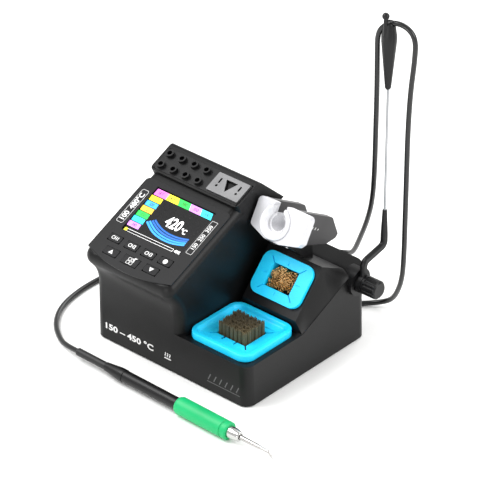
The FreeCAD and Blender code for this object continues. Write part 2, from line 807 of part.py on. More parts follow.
def make_upper_case():
    outside = case_outside()
    wall = amount("wall")
    hollow = tower_solid(wall).fuse(right_side(wall)).fuse(hump_solid(wall))
    gap = amount("slide_gap")
    # walls of the two pot wells stand inside the hollow
    flange_low, cup_low = front_pot_places()
    cup = amount("pot_cup") + 2 * gap
    well = box_at("pot_left", "pot_front", cup_low - gap, cup, cup, 60.0)
    well_wall = box_at("pot_left", "pot_front", cup_low - gap - 2.0, cup + 4, cup + 4, 40.0)
    recess = box_at(
        "pot_left", "pot_front", flange_low, amount("pot_width") + 2 * gap,
        amount("pot_depth") + 2 * gap, 40.0,
    )
    recess_wall = box_at(
        "pot_left", "pot_front", flange_low - 2.0, amount("pot_width") + 6,
        amount("pot_depth") + 6, 40.0,
    )
    rear_place = on_rear_pot("0", "0", "0")
    deep = amount("rear_flange") + amount("rear_cup_depth") + gap
    rear_well = placed_box(
        rear_place, amount("rear_cup_width") + 2 * gap, amount("rear_cup_height") + 2 * gap,
        -deep, 5.0,
    )
    rear_wall = placed_box(
        rear_place, amount("rear_cup_width") + 5, amount("rear_cup_height") + 5, -deep - 2, 5.0
    )
    hollow = hollow.cut(well_wall).cut(recess_wall).cut(rear_wall)
    shell = outside.cut(hollow).cut(well).cut(recess).cut(rear_well)
    # panel recess, display window and key holes
    overlay = overlay_outline(-amount("fit_gap"))
    sunk = prism(overlay, Vector(0, 0, 6.0))
    sunk.Placement = on_panel("0", "0", "0 - overlay_sunk")
    window = placed_box(
        on_panel("screen_left", "screen_up"), amount("screen_width + 1.6"),
        amount("screen_height + 1.6"), -8.0, 3.0,
    )
    shell = shell.cut(sunk).cut(window)
    for _, left, up, width, height in KEYS:
        hole = placed_box(
            on_panel(left, up), amount(width) + 2 * gap, amount(height) + 2 * gap, -8.0, 3.0
        )
        # room for the flange behind the panel
        edge = 2 * amount("key_flange") + 2 * gap
        room = placed_box(
            on_panel(left, up), amount(width) + edge, amount(height) + edge, -5.0, -amount("wall")
        )
        shell = shell.cut(hole).cut(room)
    # the tray's recess, and posts that carry the control board
    tray = placed_box(
        on_panel(TRAY_LEFT_RIGHT, TRAY_LOW_HIGH, "block_rise + tray_proud - tray_thick"),
        amount("tray_right - tray_left") + 0.3, amount("tray_high - tray_low") + 0.3, 0.0, 9.0,
    )
    shell = shell.cut(tray)
    for left, up in BOARD_POSTS:
        spot = on_panel(str(left), str(up), "0")
        post = placed_cylinder(spot, 2.4, -amount("board_drop"), -1.6)
        bore = placed_cylinder(spot, 1.05, -amount("board_drop"), -4.0)
        shell = shell.fuse(post).cut(bore)
    # a hole in the right wall for the clamp's spigot
    clamp = at("case_width - 12", "arm_front", "arm_up")
    shell = shell.cut(Part.makeCylinder(4.15, 24.0, clamp, X_AXIS))
    # bosses for the base screws
    for left, front in BOSSES:
        spot = at(left, front, PLATE_TOP)
        post = Part.makeCylinder(BOSS_RADIUS, 20.0, spot)
        bore = Part.makeCylinder(amount("screw_radius") + 0.05, 14.0, spot)
        shell = shell.fuse(post).cut(bore)
    # rear openings
    depth = amount("case_depth")
    inlet = box_at("inlet_left", depth, amount("inlet_up") - 10.0, 27.4, 20.0, 20.0)
    rocker = box_at("rocker_left", depth, amount("rocker_up") - 6.6, 19.4, 20.0, 13.2)
    socket_spot = at("socket_left", depth - 10.0, "socket_up")
    socket = Part.makeCylinder(amount("socket_radius") + 0.15, 20.0, socket_spot, Y_AXIS)
    shell = shell.cut(inlet).cut(rocker).cut(socket)
    for across in (-20.0, 20.0):
        spot = at("inlet_left", depth - 10.0, "inlet_up") + Vector(across, 0, 0)
        shell = shell.cut(Part.makeCylinder(1.5, 20.0, spot, Y_AXIS))
    # cooling slots low in the left wall
    for index in range(7):
        slot = box_at(0.0, 46.0 + 8.0 * index, 12.0, 12.0, 2.6, 22.0)
        shell = shell.cut(slot)
    return feature("upper_case", shell.removeSplitter())


def overlay_outline(margin):
    """The overlay's outline in the panel's frame, shrunk by a margin, with a bowed front."""
    tilt = math.radians(amount("panel_tilt"))
    inside = amount("overlay_margin") + margin
    left = inside
    right = amount("tower_width") - inside
    top = amount("overlay_top") - margin
    middle = (left + right) / 2
    end_low = (-amount("lip_reach") + amount("lip_sag")) / math.cos(tilt) + inside
    mid_low = -amount("lip_reach") / math.cos(tilt) + inside
    turn = 4.0
    low_left = Vector(left, end_low + 1.2, 0)
    low_right = Vector(right, end_low + 1.2, 0)
    bow = Part.Arc(low_left, Vector(middle, mid_low, 0), low_right).toShape()
    slant = turn * (1 - math.sqrt(0.5))
    right_arc = Part.Arc(
        Vector(right, top - turn, 0), Vector(right - slant, top - slant, 0), Vector(right - turn, top, 0)
    ).toShape()
    left_arc = Part.Arc(
        Vector(left + turn, top, 0), Vector(left + slant, top - slant, 0), Vector(left, top - turn, 0)
    ).toShape()
    edges = [
        bow,
        Part.LineSegment(low_right, Vector(right, top - turn, 0)).toShape(),
        right_arc,
        Part.LineSegment(Vector(right - turn, top, 0), Vector(left + turn, top, 0)).toShape(),
        left_arc,
        Part.LineSegment(Vector(left, top - turn, 0), low_left).toShape(),
    ]
    return Part.Wire(edges)


OUTSIDE = case_outside()
upper_case = make_upper_case()

# ---------------------------------------------------------------- base
base_plate = new_body("base_plate")
plan = sketch_on(base_plate, "base_outline")
rectangle(plan, "case_width - wall * 2 - 0.9", "case_depth - wall * 2 - 0.6", "0 - 0.25")
pad(base_plate, plan, "2.6")
round_uprights(base_plate, "case_corner - wall - 0.4")
groove = sketch_on(base_plate, "pad_groove")
rectangle(groove, "128.4", "110.4")
rectangle(groove, "107.6", "89.6")
pocket(base_plate, groove, "1", reverse=True)
holes = sketch_on(base_plate, "screw_holes")
heads = sketch_on(base_plate, "screw_heads")
for left, front in BOSSES:
    across = "%.3f - case_width / 2" % left
    along = "%.3f - case_depth / 2" % front
    circle(holes, "1.7", across, along)
    circle(heads, "3.1", across, along)
pocket(base_plate, holes, "2.6", reverse=True)
pocket(base_plate, heads, "1.8", reverse=True)
slots = sketch_on(base_plate, "base_slots")
for index in range(6):
    rectangle(slots, "2.4", "30", "%d" % (-30 + 6 * index), "14")
pocket(base_plate, slots, "2.6", reverse=True)
posts = sketch_on(base_plate, "board_posts", lift=2.0)
for left, front in ((-62, -22), (-2, -22), (-62, 36), (-2, 36)):
    circle(posts, "2.6", str(left), str(front))
pad(base_plate, posts, "7.4")
base_plate.Placement = Placement(Vector(0, 0, amount("foot_gap")), Rotation())

non_slip_pad = new_body("non_slip_pad")
ring = sketch_on(non_slip_pad, "pad_ring")
rectangle(ring, "128", "110")
rectangle(ring, "108", "90")
pad(non_slip_pad, ring, "2")


def outer_corner(edge):
    return upright(edge) and abs(edge.BoundBox.Center.x) > 60


round_uprights(non_slip_pad, "4", outer_corner)

screws = []
for index, (left, front) in enumerate(BOSSES):
    spot = Placement(at(left, front, "foot_gap + 0.3"), Rotation())
    head = cylinder("base_screw_head_%d" % index, "2.7", "1.5", spot)
    shank_spot = Placement(at(left, front, "foot_gap + 1.8"), Rotation())
    shank = cylinder("base_screw_shank_%d" % index, "screw_radius", "9", shank_spot)
    screws += [head, shank]
base_screws = fuse("base_screws", *screws)

# ---------------------------------------------------------------- power side inside the case
power_board = slab("power_board", "68", "66", "board_thick", "2", Placement(
    Vector(-32, 7, amount("foot_gap") + 9.4), Rotation()))
BOARD_TOP = amount("foot_gap") + 9.4 + amount("board_thick")
transformer = fuse(
    "transformer",
    block("core", "34", "30", "28", Placement(Vector(-46, -4, BOARD_TOP), Rotation())),
    block("winding", "24", "38", "20", Placement(Vector(-46, -4, BOARD_TOP + 4), Rotation())),
)
capacitors = fuse(
    "capacitors",
    cylinder("capacitor_big", "7.5", "24", Placement(Vector(-17, -12, BOARD_TOP), Rotation())),
    cylinder("capacitor_small", "5", "16", Placement(Vector(-5, 4, BOARD_TOP), Rotation())),
    block("capacitor_base", "22", "22", "0.8", Placement(Vector(-12, -4, BOARD_TOP), Rotation())),
)
heat_sink = new_body("heat_sink")
comb = sketch_on(heat_sink, "heat_sink_outline")
polygon(comb, [
    ("-14", "-5"), ("14", "-5"), ("14", "5"), ("11.6", "5"), ("11.6", "-2"), ("8", "-2"),
    ("8", "5"), ("5.6", "5"), ("5.6", "-2"), ("1.2", "-2"), ("1.2", "5"), ("-1.2", "5"),
    ("-1.2", "-2"), ("-5.6", "-2"), ("-5.6", "5"), ("-8", "5"), ("-8", "-2"), ("-11.6", "-2"),
    ("-11.6", "5"), ("-14", "5"),
])
pad(heat_sink, comb, "22")
heat_sink.Placement = Placement(Vector(-30, 28, BOARD_TOP), Rotation())
board_fixings = []
for index, (left, front) in enumerate(((-62, -22), (-2, -22), (-62, 36), (-2, 36))):
    spot = Placement(Vector(left, front, BOARD_TOP), Rotation())
    board_fixings.append(cylinder("power_board_screw_%d" % index, "2.4", "1.6", spot))
# two small links join nothing: each screw stands alone, so they are kept as one compound
power_board_screws = fuse("power_board_screws", *board_fixings)

# ---------------------------------------------------------------- control panel
panel_overlay = feature("panel_overlay", Part.Shape())


def make_overlay():
    sheet_solid = prism(overlay_outline(0.0), Vector(0, 0, amount("overlay_thick")))
    flat = Placement()
    window = Part.makeBox(
        amount("screen_width"), amount("screen_height"), 10,
        Vector(amount("screen_left - screen_width / 2"), amount("screen_up - screen_height / 2"), -5),
    )
    sheet_solid = sheet_solid.cut(window)
    gap = 2 * amount("slide_gap")
    for _, left, up, width, height in KEYS:
        wide = amount(width) + gap
        tall = amount(height) + gap
        spot = Vector(amount(left) - wide / 2, amount(up) - tall / 2, -5)
        sheet_solid = sheet_solid.cut(Part.makeBox(wide, tall, 10, spot))
    sheet_solid.Placement = flat
    return sheet_solid


panel_overlay.Shape = make_overlay()
panel_overlay.Placement = on_panel("0", "0", "0 - overlay_sunk")

display_lens = slab(
    "display_lens", "screen_width + 1.3", "screen_height + 1.3", "lens_thick", None,
    on_panel("screen_left", "screen_up", "0 - overlay_sunk - 0.1 - lens_thick"),
)
display_module = slab(
    "display_module", "screen_width + screen_frame * 2", "screen_height + screen_frame * 2",
    "display_thick", "1", on_panel("screen_left", "screen_up", "0 - wall - display_thick"),
)
control_board = new_body("control_board")
board = sketch_on(control_board, "control_board_outline")
rectangle(board, "74", "67", "43", "25.5")
pad(control_board, board, "board_thick")
board_holes = sketch_on(control_board, "control_board_holes")
for left, up in BOARD_POSTS:
    circle(board_holes, "1.3", str(left), str(up))
pocket(control_board, board_holes, "board_thick", reverse=True)
control_board.Placement = on_panel("0", "0", "0 - board_drop - board_thick")

fixings = []
for index, (left, up) in enumerate(BOARD_POSTS):
    spot = on_panel(str(left), str(up), "0 - board_drop - board_thick - 1.5")
    fixings.append(cylinder("control_screw_head_%d" % index, "2", "1.5", spot))
    spot = on_panel(str(left), str(up), "0 - board_drop - board_thick")
    fixings.append(cylinder("control_screw_shank_%d" % index, "1", "7", spot))
control_board_screws = fuse("control_board_screws", *fixings)

switches = []
for name, left, up, _, _ in KEYS:
    spot = on_panel(left, up, "0 - board_drop")
    switches.append(block(name + "_switch", "switch_side", "switch_side", "3.5", spot))
    spot = on_panel(left, up, "3.5 - board_drop")
    switches.append(cylinder(name + "_plunger", "1.7", "0.7", spot))
key_switches = fuse("key_switches", *switches)

key_pieces = {}
for name, left, up, width, height in KEYS:
    key = new_body(name)
    flange = sketch_on(key, name + "_flange")
    rectangle(flange, width + " + key_flange * 2", height + " + key_flange * 2")
    pad(key, flange, "1")
    cap = sketch_on(key, name + "_cap", lift=1.0)
    rectangle(cap, width, height)
    pad(key, cap, "wall + 0.3 + key_proud + overlay_thick - overlay_sunk")
    if name != "key_settings":
        top = key.Shape.BoundBox.ZMax

        def cap_corner(edge, level=top):
            return upright(edge) and edge.BoundBox.ZMax > level - 0.01

        round_uprights(key, "1.6", cap_corner)
    stem = sketch_on(key, name + "_stem")
    rectangle(stem, "3.6", "3.6")
    pad(key, stem, "2.2", reverse=True)
    key.Placement = on_panel(left, up, "0 - wall - 1.3")
    key_pieces[name] = key

# ---------------------------------------------------------------- tip tray
tip_tray = new_body("tip_tray")
tray_sketch = sketch_on(tip_tray, "tray_outline")
rectangle(tray_sketch, "tray_right - tray_left", "tray_high - tray_low", TRAY_LEFT_RIGHT, TRAY_LOW_HIGH)
pad(tip_tray, tray_sketch, "tray_thick")
round_uprights(tip_tray, "2.2")
bosses = sketch_on(tip_tray, "tray_bosses", lift=amount("tray_thick") - 0.2)
bores = sketch_on(tip_tray, "tray_bores")
for index in range(4):
    across = "boss_first + boss_pitch * %d" % index
    circle(bosses, "boss_radius", across, "boss_row_low")
    circle(bosses, "boss_radius", across, "boss_row_high")
    circle(bores, "boss_hole", across, "boss_row_low")
    circle(bores, "boss_hole", across, "boss_row_high")
pad(tip_tray, bosses, "boss_rise + 0.2")
opening = sketch_on(tip_tray, "tray_opening")
rectangle(opening, "plate_width - 6", "plate_height - 5", "plate_left", "plate_up")
pocket(tip_tray, opening, "tray_thick + 1", reverse=True)
pocket(tip_tray, bores, "tray_thick + boss_rise + 1", reverse=True)
tip_tray.Placement = on_panel("0", "0", "block_rise + tray_proud - tray_thick")

tip_plate = new_body("tip_plate")
plate_sketch = sketch_on(tip_plate, "plate_outline")
rectangle(plate_sketch, "plate_width", "plate_height")
pad(tip_plate, plate_sketch, "plate_thick")
round_uprights(tip_plate, "1")
plate_holes = sketch_on(tip_plate, "plate_holes")
polygon(plate_holes, [("0", "-5"), ("5.4", "5.2"), ("-5.4", "5.2")])
for side in (-1, 1):
    rectangle(plate_holes, "1.5", "4.6", "%s" % (9.4 * side), "2.2")
    circle(plate_holes, "1", "%s" % (9.4 * side), "-2.6")
pocket(tip_plate, plate_holes, "plate_thick", reverse=True)
tip_plate.Placement = on_panel("plate_left", "plate_up", "block_rise + tray_proud")

# ---------------------------------------------------------------- cleaning pots
front_pot = new_body("front_pot")
flange_sketch = sketch_on(front_pot, "front_pot_flange")
rectangle(flange_sketch, "pot_width", "pot_depth")
pad(front_pot, flange_sketch, "pot_flange")
round_uprights(front_pot, "9.5")
cup_sketch = sketch_on(front_pot, "front_pot_cup")
rectangle(cup_sketch, "pot_cup", "pot_cup")
pad(front_pot, cup_sketch, "pot_cup_depth", reverse=True)
dish = sketch_on(front_pot, "front_pot_dish", lift=amount("pot_flange"))
rectangle(dish, "47.6", "45")
pocket(front_pot, dish, "pot_flange - 2.4")
inside = sketch_on(front_pot, "front_pot_inside", lift=amount("pot_flange"))
rectangle(inside, "pot_cup - pot_skin * 2", "pot_cup - pot_skin * 2")
pocket(front_pot, inside, "pot_flange + pot_cup_depth - pot_skin")
FLANGE_LOW, CUP_LOW = front_pot_places()
front_pot.Placement = Placement(at("pot_left", "pot_front", FLANGE_LOW), Rotation())

BRUSH_LOW = CUP_LOW + amount("pot_skin")
bristle_brush = fuse(
    "bristle_brush",
    block("brush_block", "brush_width", "brush_depth", "brush_top - %.3f" % BRUSH_LOW,
          Placement(at("pot_left", "pot_front", BRUSH_LOW), Rotation())),
    block("brush_foot", "pot_cup - pot_skin * 2 - 0.6", "pot_cup - pot_skin * 2 - 0.6", "9",
          Placement(at("pot_left", "pot_front", BRUSH_LOW), Rotation())),
)

rear_pot = new_body("rear_pot")
rear_flange = sketch_on(rear_pot, "rear_pot_flange")
rectangle(rear_flange, "rear_width", "rear_height")
pad(rear_pot, rear_flange, "rear_flange")
round_uprights(rear_pot, "8")
rear_cup = sketch_on(rear_pot, "rear_pot_cup")
rectangle(rear_cup, "rear_cup_width", "rear_cup_height")
pad(rear_pot, rear_cup, "rear_cup_depth", reverse=True)
mouth = sketch_on(rear_pot, "rear_pot_mouth", lift=amount("rear_flange"))
rectangle(mouth, "wool_width", "wool_height")
pocket(rear_pot, mouth, "rear_flange + rear_cup_depth - pot_skin")
slits = sketch_on(rear_pot, "rear_pot_slits", lift=amount("rear_flange"))
for across, up, wide, tall in ((0, 12.2, 0.8, 3.0), (0, -12.2, 0.8, 3.0), (-15.6, 0, 3.4, 0.8), (15.6, 0, 3.4, 0.8)):
    rectangle(slits, str(wide), str(tall), str(across), str(up))
pocket(rear_pot, slits, "0.6")
rear_pot.Placement = on_rear_pot("0", "0", "0 - rear_flange")

brass_wool = slab(
    "brass_wool", "wool_width - 0.6", "wool_height - 0.6", "rear_cup_depth - pot_skin + 1.4",
    "1.5", on_rear_pot("0", "0", "pot_skin - rear_flange - rear_cup_depth"),
)

# ---------------------------------------------------------------- iron holder
FACE = [
    (-20.7, 14.3, 3.5), (-20.7, -8.0, 3.0), (-4.3, -13.9, 9.0), (9.0, -13.9, 9.0),
    (25.0, -10.0, 3.0), (27.7, -6.6, 2.0), (27.7, 14.3, 3.5),
]


def flat_shape(outline, low, high):
    wire = rounded_outline([(x, y, low, radius) for x, y, radius in outline])
    return prism(wire, Vector(0, 0, high - low))


def make_holder_face():
    thick = amount("face_thick")
    plate = flat_shape(FACE, -thick, 0.0)
    seat = Part.makeCylinder(amount("collar_radius") + 0.1, 10.0, Vector(0, 0, -4.0))
    bore = Part.makeCylinder(amount("sleeve_radius") + 0.3, 40.0, Vector(0, 0, -20.0))
    wide = amount("slot_width")
    gap = Part.makeBox(wide, 30.0, 40.0, Vector(-wide / 2, 0, -20.0))
    return plate.cut(seat).cut(bore).cut(gap).removeSplitter()


def make_collar():
    outside = amount("collar_radius")
    throat = amount("collar_bore")
    proud = amount("collar_proud")
    section = [
        Vector(throat, 0, -4.0),
        Vector(outside, 0, -4.0),
        Vector(outside, 0, proud - 1.0),
        Vector(outside - 1.0, 0, proud),
        Vector(outside - 2.2, 0, proud),
        Vector(throat, 0, -2.0),
    ]
    ring = Part.Face(Part.makePolygon(section + [section[0]])).revolve(Vector(), Z_AXIS, 360)
    wide = amount("slot_width")
    gap = Part.makeBox(wide, 30.0, 40.0, Vector(-wide / 2, 0, -20.0))
    return ring.cut(gap)


def make_sleeve():
    tube = Part.makeCylinder(amount("sleeve_radius"), 30.0, Vector(0, 0, -34.0))
    bore = Part.makeCylinder(amount("sleeve_bore"), 40.0, Vector(0, 0, -40.0))
    gap = Part.makeBox(7.0, 20.0, 60.0, Vector(-3.5, 0, -50.0))
    return tube.cut(bore).cut(gap)


def make_cradle():
    """The two cheeks and the floor between them, from a side view of (back, down) corners."""
    side = [
        (7.0, 0.0, 0.0), (44.5, 0.0, 3.0), (58.0, -11.4, 1.5), (56.5, -15.0, 2.0),
        (48.0, -20.2, 3.0), (30.0, -23.0, 3.0), (7.0, -25.6, 0.0),
    ]
    half = amount("cheek_out")
    inner = amount("cheek_in")
    top = 14.3
    corners = [(-half, top + down, -back, radius) for back, down, radius in side]
    body = prism(rounded_outline(corners), Vector(2 * half, 0, 0))
    channel = Part.makeBox(2 * inner, 60.0, 80.0, Vector(-inner, -8.9, -75.0))
    body = body.cut(channel)
    for across in HOLDER_SCREWS:
        body = body.cut(Part.makeCylinder(1.4, 9.0, Vector(across, -8.0, -14.0), Vector(0, -1, 0)))
    return body


# two screws stand in the channel's floor beside the sleeve
HOLDER_SCREWS = (-7.4, 7.4)


holder_face = feature("holder_face", make_holder_face())
holder_face.Placement = on_holder("0", "0", "0")
holder_collar = feature("holder_collar", make_collar())
holder_collar.Placement = on_holder("0", "0", "0")
holder_sleeve = feature("holder_sleeve", make_sleeve())
holder_sleeve.Placement = on_holder("0", "0", "0")
holder_cradle = feature("holder_cradle", make_cradle())
holder_cradle.Placement = on_holder("0", "0", "0")


def make_holder_screw(across):
    """A pan-head screw, its head on the channel's floor and its shank down into the neck."""
    down = Vector(0, -1, 0)
    head = Part.makeCylinder(2.2, 1.3, Vector(across, -7.6, -14.0), down)
    shank = Part.makeCylinder(1.4, 6.6, Vector(across, -8.9, -14.0), down)
    screw = head.fuse(shank).removeSplitter()
    screw.Placement = on_holder("0", "0", "0")
    return screw


SCREW_SHAPES = [make_holder_screw(across) for across in HOLDER_SCREWS]


def make_holder_stand():
    """A neck from the pedestal's ridge to the underside of the cradle."""
    corner = at("holder_left", "0", "0")
    outline = [
        (78.5, 66.0, 0.0), (79.5, 90.0, 0.0), (83.0, 93.5, 0.0), (104.0, 85.0, 0.0),
        (106.0, 60.0, 0.0),
    ]
    spots = [(corner.x - 12.0, corner.y + y, z, radius) for y, z, radius in outline]
    neck = prism(rounded_outline(spots), Vector(24.0, 0, 0))
    holder = holder_cradle.Shape.fuse(holder_face.Shape)
    under = placed_box(on_holder("0", "20", "0"), 60.0, 58.0, -80.0, 30.0)
    pot = placed_box(on_rear_pot("0", "0", "0"), 60.0, 44.0, -3.0, 40.0)
    neck = neck.cut(holder).cut(under).cut(OUTSIDE).cut(pot)
    neck = max(neck.Solids, key=lambda piece: piece.Volume)
    for screw in SCREW_SHAPES:
        neck = neck.cut(screw)
    return neck


holder_stand = feature("holder_stand", make_holder_stand())
holder_screws = feature("holder_screws", Part.makeCompound(SCREW_SHAPES))

# ---------------------------------------------------------------- cord arm
def on_clamp(left, forward=0.0, up=0.0):
    """On the clamp's axis at a distance from the case's left side, Z along +X."""
    spot = at(left, "arm_front", "arm_up") + Vector(0, forward, up)
    return Placement(spot, SIDEWAYS)


def make_bracket():
    wall_face = amount("case_width")
    disc = Part.makeCylinder(amount("clamp_radius"), 10.0, at(wall_face - 7.8, "arm_front", "arm_up"), X_AXIS)
    disc = disc.cut(OUTSIDE)
    disc = max(disc.Solids, key=lambda piece: piece.Volume)
    spigot = Part.makeCylinder(4.0, 10.0, at(wall_face - 8.0, "arm_front", "arm_up"), X_AXIS)
    nut = Part.makeCylinder(amount("stud_radius") + 0.02, 40.0, at(wall_face - 20.0, "arm_front", "arm_up"), X_AXIS)
    return disc.fuse(spigot).cut(nut).removeSplitter()


clamp_bracket = feature("clamp_bracket", make_bracket())


def ribbed_knob():
    """A round knob with twelve grip flutes, a chamfered end and a bore for the stud."""
    radius = amount("knob_radius")
    length = amount("knob_length")
    body = Part.makeCylinder(radius, length)
    rim = [edge for edge in body.Edges if abs(edge.BoundBox.ZMax - length) < 1e-6]
    rim = [edge for edge in rim if abs(edge.BoundBox.ZMin - length) < 1e-6]
    body = body.makeChamfer(1.4, rim)
    for index in range(12):
        angle = math.radians(30 * index)
        spot = Vector(math.cos(angle), math.sin(angle), 0) * (radius + 0.75)
        body = body.cut(Part.makeCylinder(1.45, length + 2, spot + Vector(0, 0, 1.6)))
    bore = Part.makeCylinder(amount("stud_radius") + 0.02, length - 3.0)
    return body.cut(bore)


clamp_knob = feature("clamp_knob", ribbed_knob())
clamp_knob.Placement = on_clamp("arm_left + arm_thick / 2 + 0.3")
clamp_stud = cylinder("clamp_stud", "stud_radius", "22", on_clamp("case_width - 5"))


def pipe(points, radius, bend):
    """A round bar on straight runs joined by arcs of one radius."""
    edges = []
    start = points[0]
    last = len(points) - 1
    for index in range(1, last):
        corner = points[index]
        half = (points[index - 1] - corner).getAngle(points[index + 1] - corner) / 2
        trim = bend / math.tan(half)
        first, middle, second, _ = corner_arc(points[index - 1], corner, points[index + 1], trim)
        edges.append(Part.LineSegment(start, first).toShape())
        edges.append(Part.Arc(first, middle, second).toShape())
        start = second
    edges.append(Part.LineSegment(start, points[last]).toShape())
    ring = Part.Wire([Part.Circle(points[0], points[1] - points[0], radius).toShape()])
    return Part.Wire(edges).makePipeShell([ring], True, False)


def make_elbow():
    """The arm's eye, its post, the step to the back and the tapering socket."""
    foot = at("arm_left", "arm_front", "arm_up")
    radius = amount("arm_radius")
    step = amount("arm_offset")
    rise = amount("arm_step")
    top = amount("socket_top - arm_up")
    knee = foot + Vector(0, step, rise + 5.0)
    points = [foot, foot + Vector(0, 0, rise), knee, foot + Vector(0, step, rise + 14.0)]
    bar = pipe(points, radius, 4.5)
    eye_spot = foot - Vector(amount("arm_thick") / 2, 0, 0)
    eye = Part.makeCylinder(amount("eye_radius"), amount("arm_thick"), eye_spot, X_AXIS)
    low = foot + Vector(0, step, rise + 14.0)
    cone = Part.makeCone(radius, 1.75, top - rise - 14.0, low)
    slab_left = Part.makeBox(30, 80, 120, eye_spot + Vector(-30, -30, -30))
    slab_right = Part.makeBox(30, 80, 120, eye_spot + Vector(amount("arm_thick"), -30, -30))
    whole = eye.fuse(bar).fuse(cone).cut(slab_left).cut(slab_right)
    hole = Part.makeCylinder(amount("stud_radius") + 0.35, 30.0, foot - Vector(15, 0, 0), X_AXIS)
    bore = Part.makeCylinder(amount("rod_radius"), 60.0, foot + Vector(0, step, 44.0))
    return whole.cut(hole).cut(bore).removeSplitter()


arm_elbow = feature("arm_elbow", make_elbow())
arm_rod = cylinder(
    "arm_rod", "rod_radius", "rod_top - rod_bottom",
    Placement(at("arm_left", "arm_front + arm_offset", "rod_bottom"), Rotation()),
)

# Route points from the case's front left corner: plug, up over the hook, down to the
# table, round the left side of the case and into the iron's tail.
CORD_UP = [
    (69.0, 162.5, 22.0), (69.2, 173.0, 21.0), (75.0, 183.2, 18.4), (86.2, 186.6, 19.8),
    (94.9, 183.0, 26.4), (106.0, 176.0, 45.2), (120.0, 167.5, 71.0), (130.2, 160.5, 96.0),
    (135.6, 155.5, 125.8), (139.4, 151.0, 162.7), (142.9, 147.0, 200.5), (145.2, 143.5, 231.0),
]
CORD_OVER = [
    (145.9, 142.4, 246.5), (149.6, 143.3, 254.0), (157.2, 145.2, 259.1), (167.6, 147.7, 258.4),
    (174.9, 149.6, 250.2),
]
CORD_DOWN = [
    (174.2, 149.7, 232.0), (171.0, 150.0, 206.0), (168.9, 151.0, 172.0), (167.7, 152.5, 135.5),
    (166.4, 154.0, 100.6), (164.0, 157.0, 64.5), (159.0, 162.0, 39.0), (149.9, 167.6, 19.8),
    (140.6, 171.6, 7.4), (128.6, 166.6, 2.5), (116.0, 155.0, 2.05), (92.0, 147.6, 2.05),
]
CORD_FLOOR = [
    (60.0, 146.8, 2.05), (28.0, 143.6, 2.05), (-2.0, 135.4, 2.05), (-27.0, 116.5, 2.05),
    (-45.0, 84.0, 2.05), (-50.4, 46.0, 2.05), (-45.2, 10.0, 2.05), (-30.5, -12.5, 2.05),
    (-10.5, -26.6, 3.0), (1.6, -31.0, 5.2), (13.2, -32.6, 6.8),
]


def row(points):
    return [at(*point) for point in points]


# the cord's run through the hook
HOOK_IN = at(149.8, 143.4, 254.0)
HOOK_OUT = at(157.2, 145.2, 258.9)


def make_hook():
    """A tapering hook with an open-topped slot that the cord lies in, and a ball end."""
    spot = at("arm_left", "arm_front + arm_offset", "0")
    low = amount("hook_bottom")
    high = amount("hook_top")
    wide = amount("hook_radius")
    section = [
        (0, low), (1.6, low), (2.3, low + 1.2), (wide, high - 15), (wide, high - 11),
        (wide - 1.4, high - 1), (wide - 2.4, high + 0.4), (0, high + 0.4),
    ]
    points = [Vector(radius, 0, up) for radius, up in section]
    body = Part.Face(Part.makePolygon(points + [points[0]])).revolve(Vector(), Z_AXIS, 360)
    body.translate(spot)
    tube = amount("cord_radius") + 0.4
    route = row(CORD_UP[-1:] + CORD_OVER + CORD_DOWN[:1])
    lane = tube_along(route, tube)[0]
    ahead = (HOOK_OUT - HOOK_IN).normalize()
    side = Vector(-ahead.y, ahead.x, 0).normalize()
    level = Vector(ahead.x, ahead.y, 0).normalize()
    # the slot is open above the cord
    slot = []
    for out, up in ((-14, 0), (14, 0), (14, 30), (-14, 30)):
        middle = (HOOK_IN + HOOK_OUT) / 2
        rise = 0.0 if up else ahead.z / math.hypot(ahead.x, ahead.y) * out
        slot.append(middle + level * out + side * tube + Vector(0, 0, up + rise))
    above = Part.Face(Part.makePolygon(slot + [slot[0]])).extrude(side * (-2 * tube))
    body = body.cut(lane).cut(above)
    body = max(body.Solids, key=lambda piece: piece.Volume)
    post = Vector(spot.x, spot.y, 0) - side * (tube + 1.5) - level * 1.2
    horn = Part.makeCone(1.7, 1.5, 14.0, Vector(post.x, post.y, high - 9.0))
    ball = Part.makeSphere(2.7, Vector(post.x, post.y, high + 6.2))
    crown = horn.fuse(ball).cut(lane).cut(above)
    crown = max(crown.Solids, key=lambda piece: piece.Volume)
    stem = Vector(spot.x, spot.y, low)
    bore = Part.makeCylinder(amount("rod_radius"), amount("rod_top") - low, stem)
    return body.fuse(crown).cut(bore).removeSplitter()


arm_hook = feature("arm_hook", make_hook())

# ---------------------------------------------------------------- rear face
BACK = amount("case_depth")


def on_back(left, up, out=0.0):
    """On the case's rear face, Z pointing backwards away from the case."""
    spot = at(left, "case_depth", up) + Vector(0, out, 0)
    return Placement(spot, BACKWARDS)


power_inlet = new_body("power_inlet")
inlet_flange = sketch_on(power_inlet, "inlet_flange")
rectangle(inlet_flange, "49", "22.5")
pad(power_inlet, inlet_flange, "2.6")
round_uprights(power_inlet, "3")
inlet_shell = sketch_on(power_inlet, "inlet_shell")
rectangle(inlet_shell, "26.8", "19.4")
pad(power_inlet, inlet_shell, "17", reverse=True)
inlet_mouth = sketch_on(power_inlet, "inlet_mouth", lift=2.6)
polygon(inlet_mouth, [
    ("-11.9", "-8"), ("11.9", "-8"), ("11.9", "3.6"), ("7.6", "8"), ("-7.6", "8"), ("-11.9", "3.6"),
])
pocket(power_inlet, inlet_mouth, "16.5")
pin_slots = sketch_on(power_inlet, "inlet_pin_slots", lift=2.6)
for across, up in ((0, 3.6), (-7, -1.6), (7, -1.6)):
    rectangle(pin_slots, "4", "2", str(across), str(up))
pocket(power_inlet, pin_slots, "19.6")
inlet_holes = sketch_on(power_inlet, "inlet_holes", lift=2.6)
circle(inlet_holes, "1.7", "20")
circle(inlet_holes, "1.7", "-20")
pocket(power_inlet, inlet_holes, "2.6")
power_inlet.Placement = on_back("inlet_left", "inlet_up")


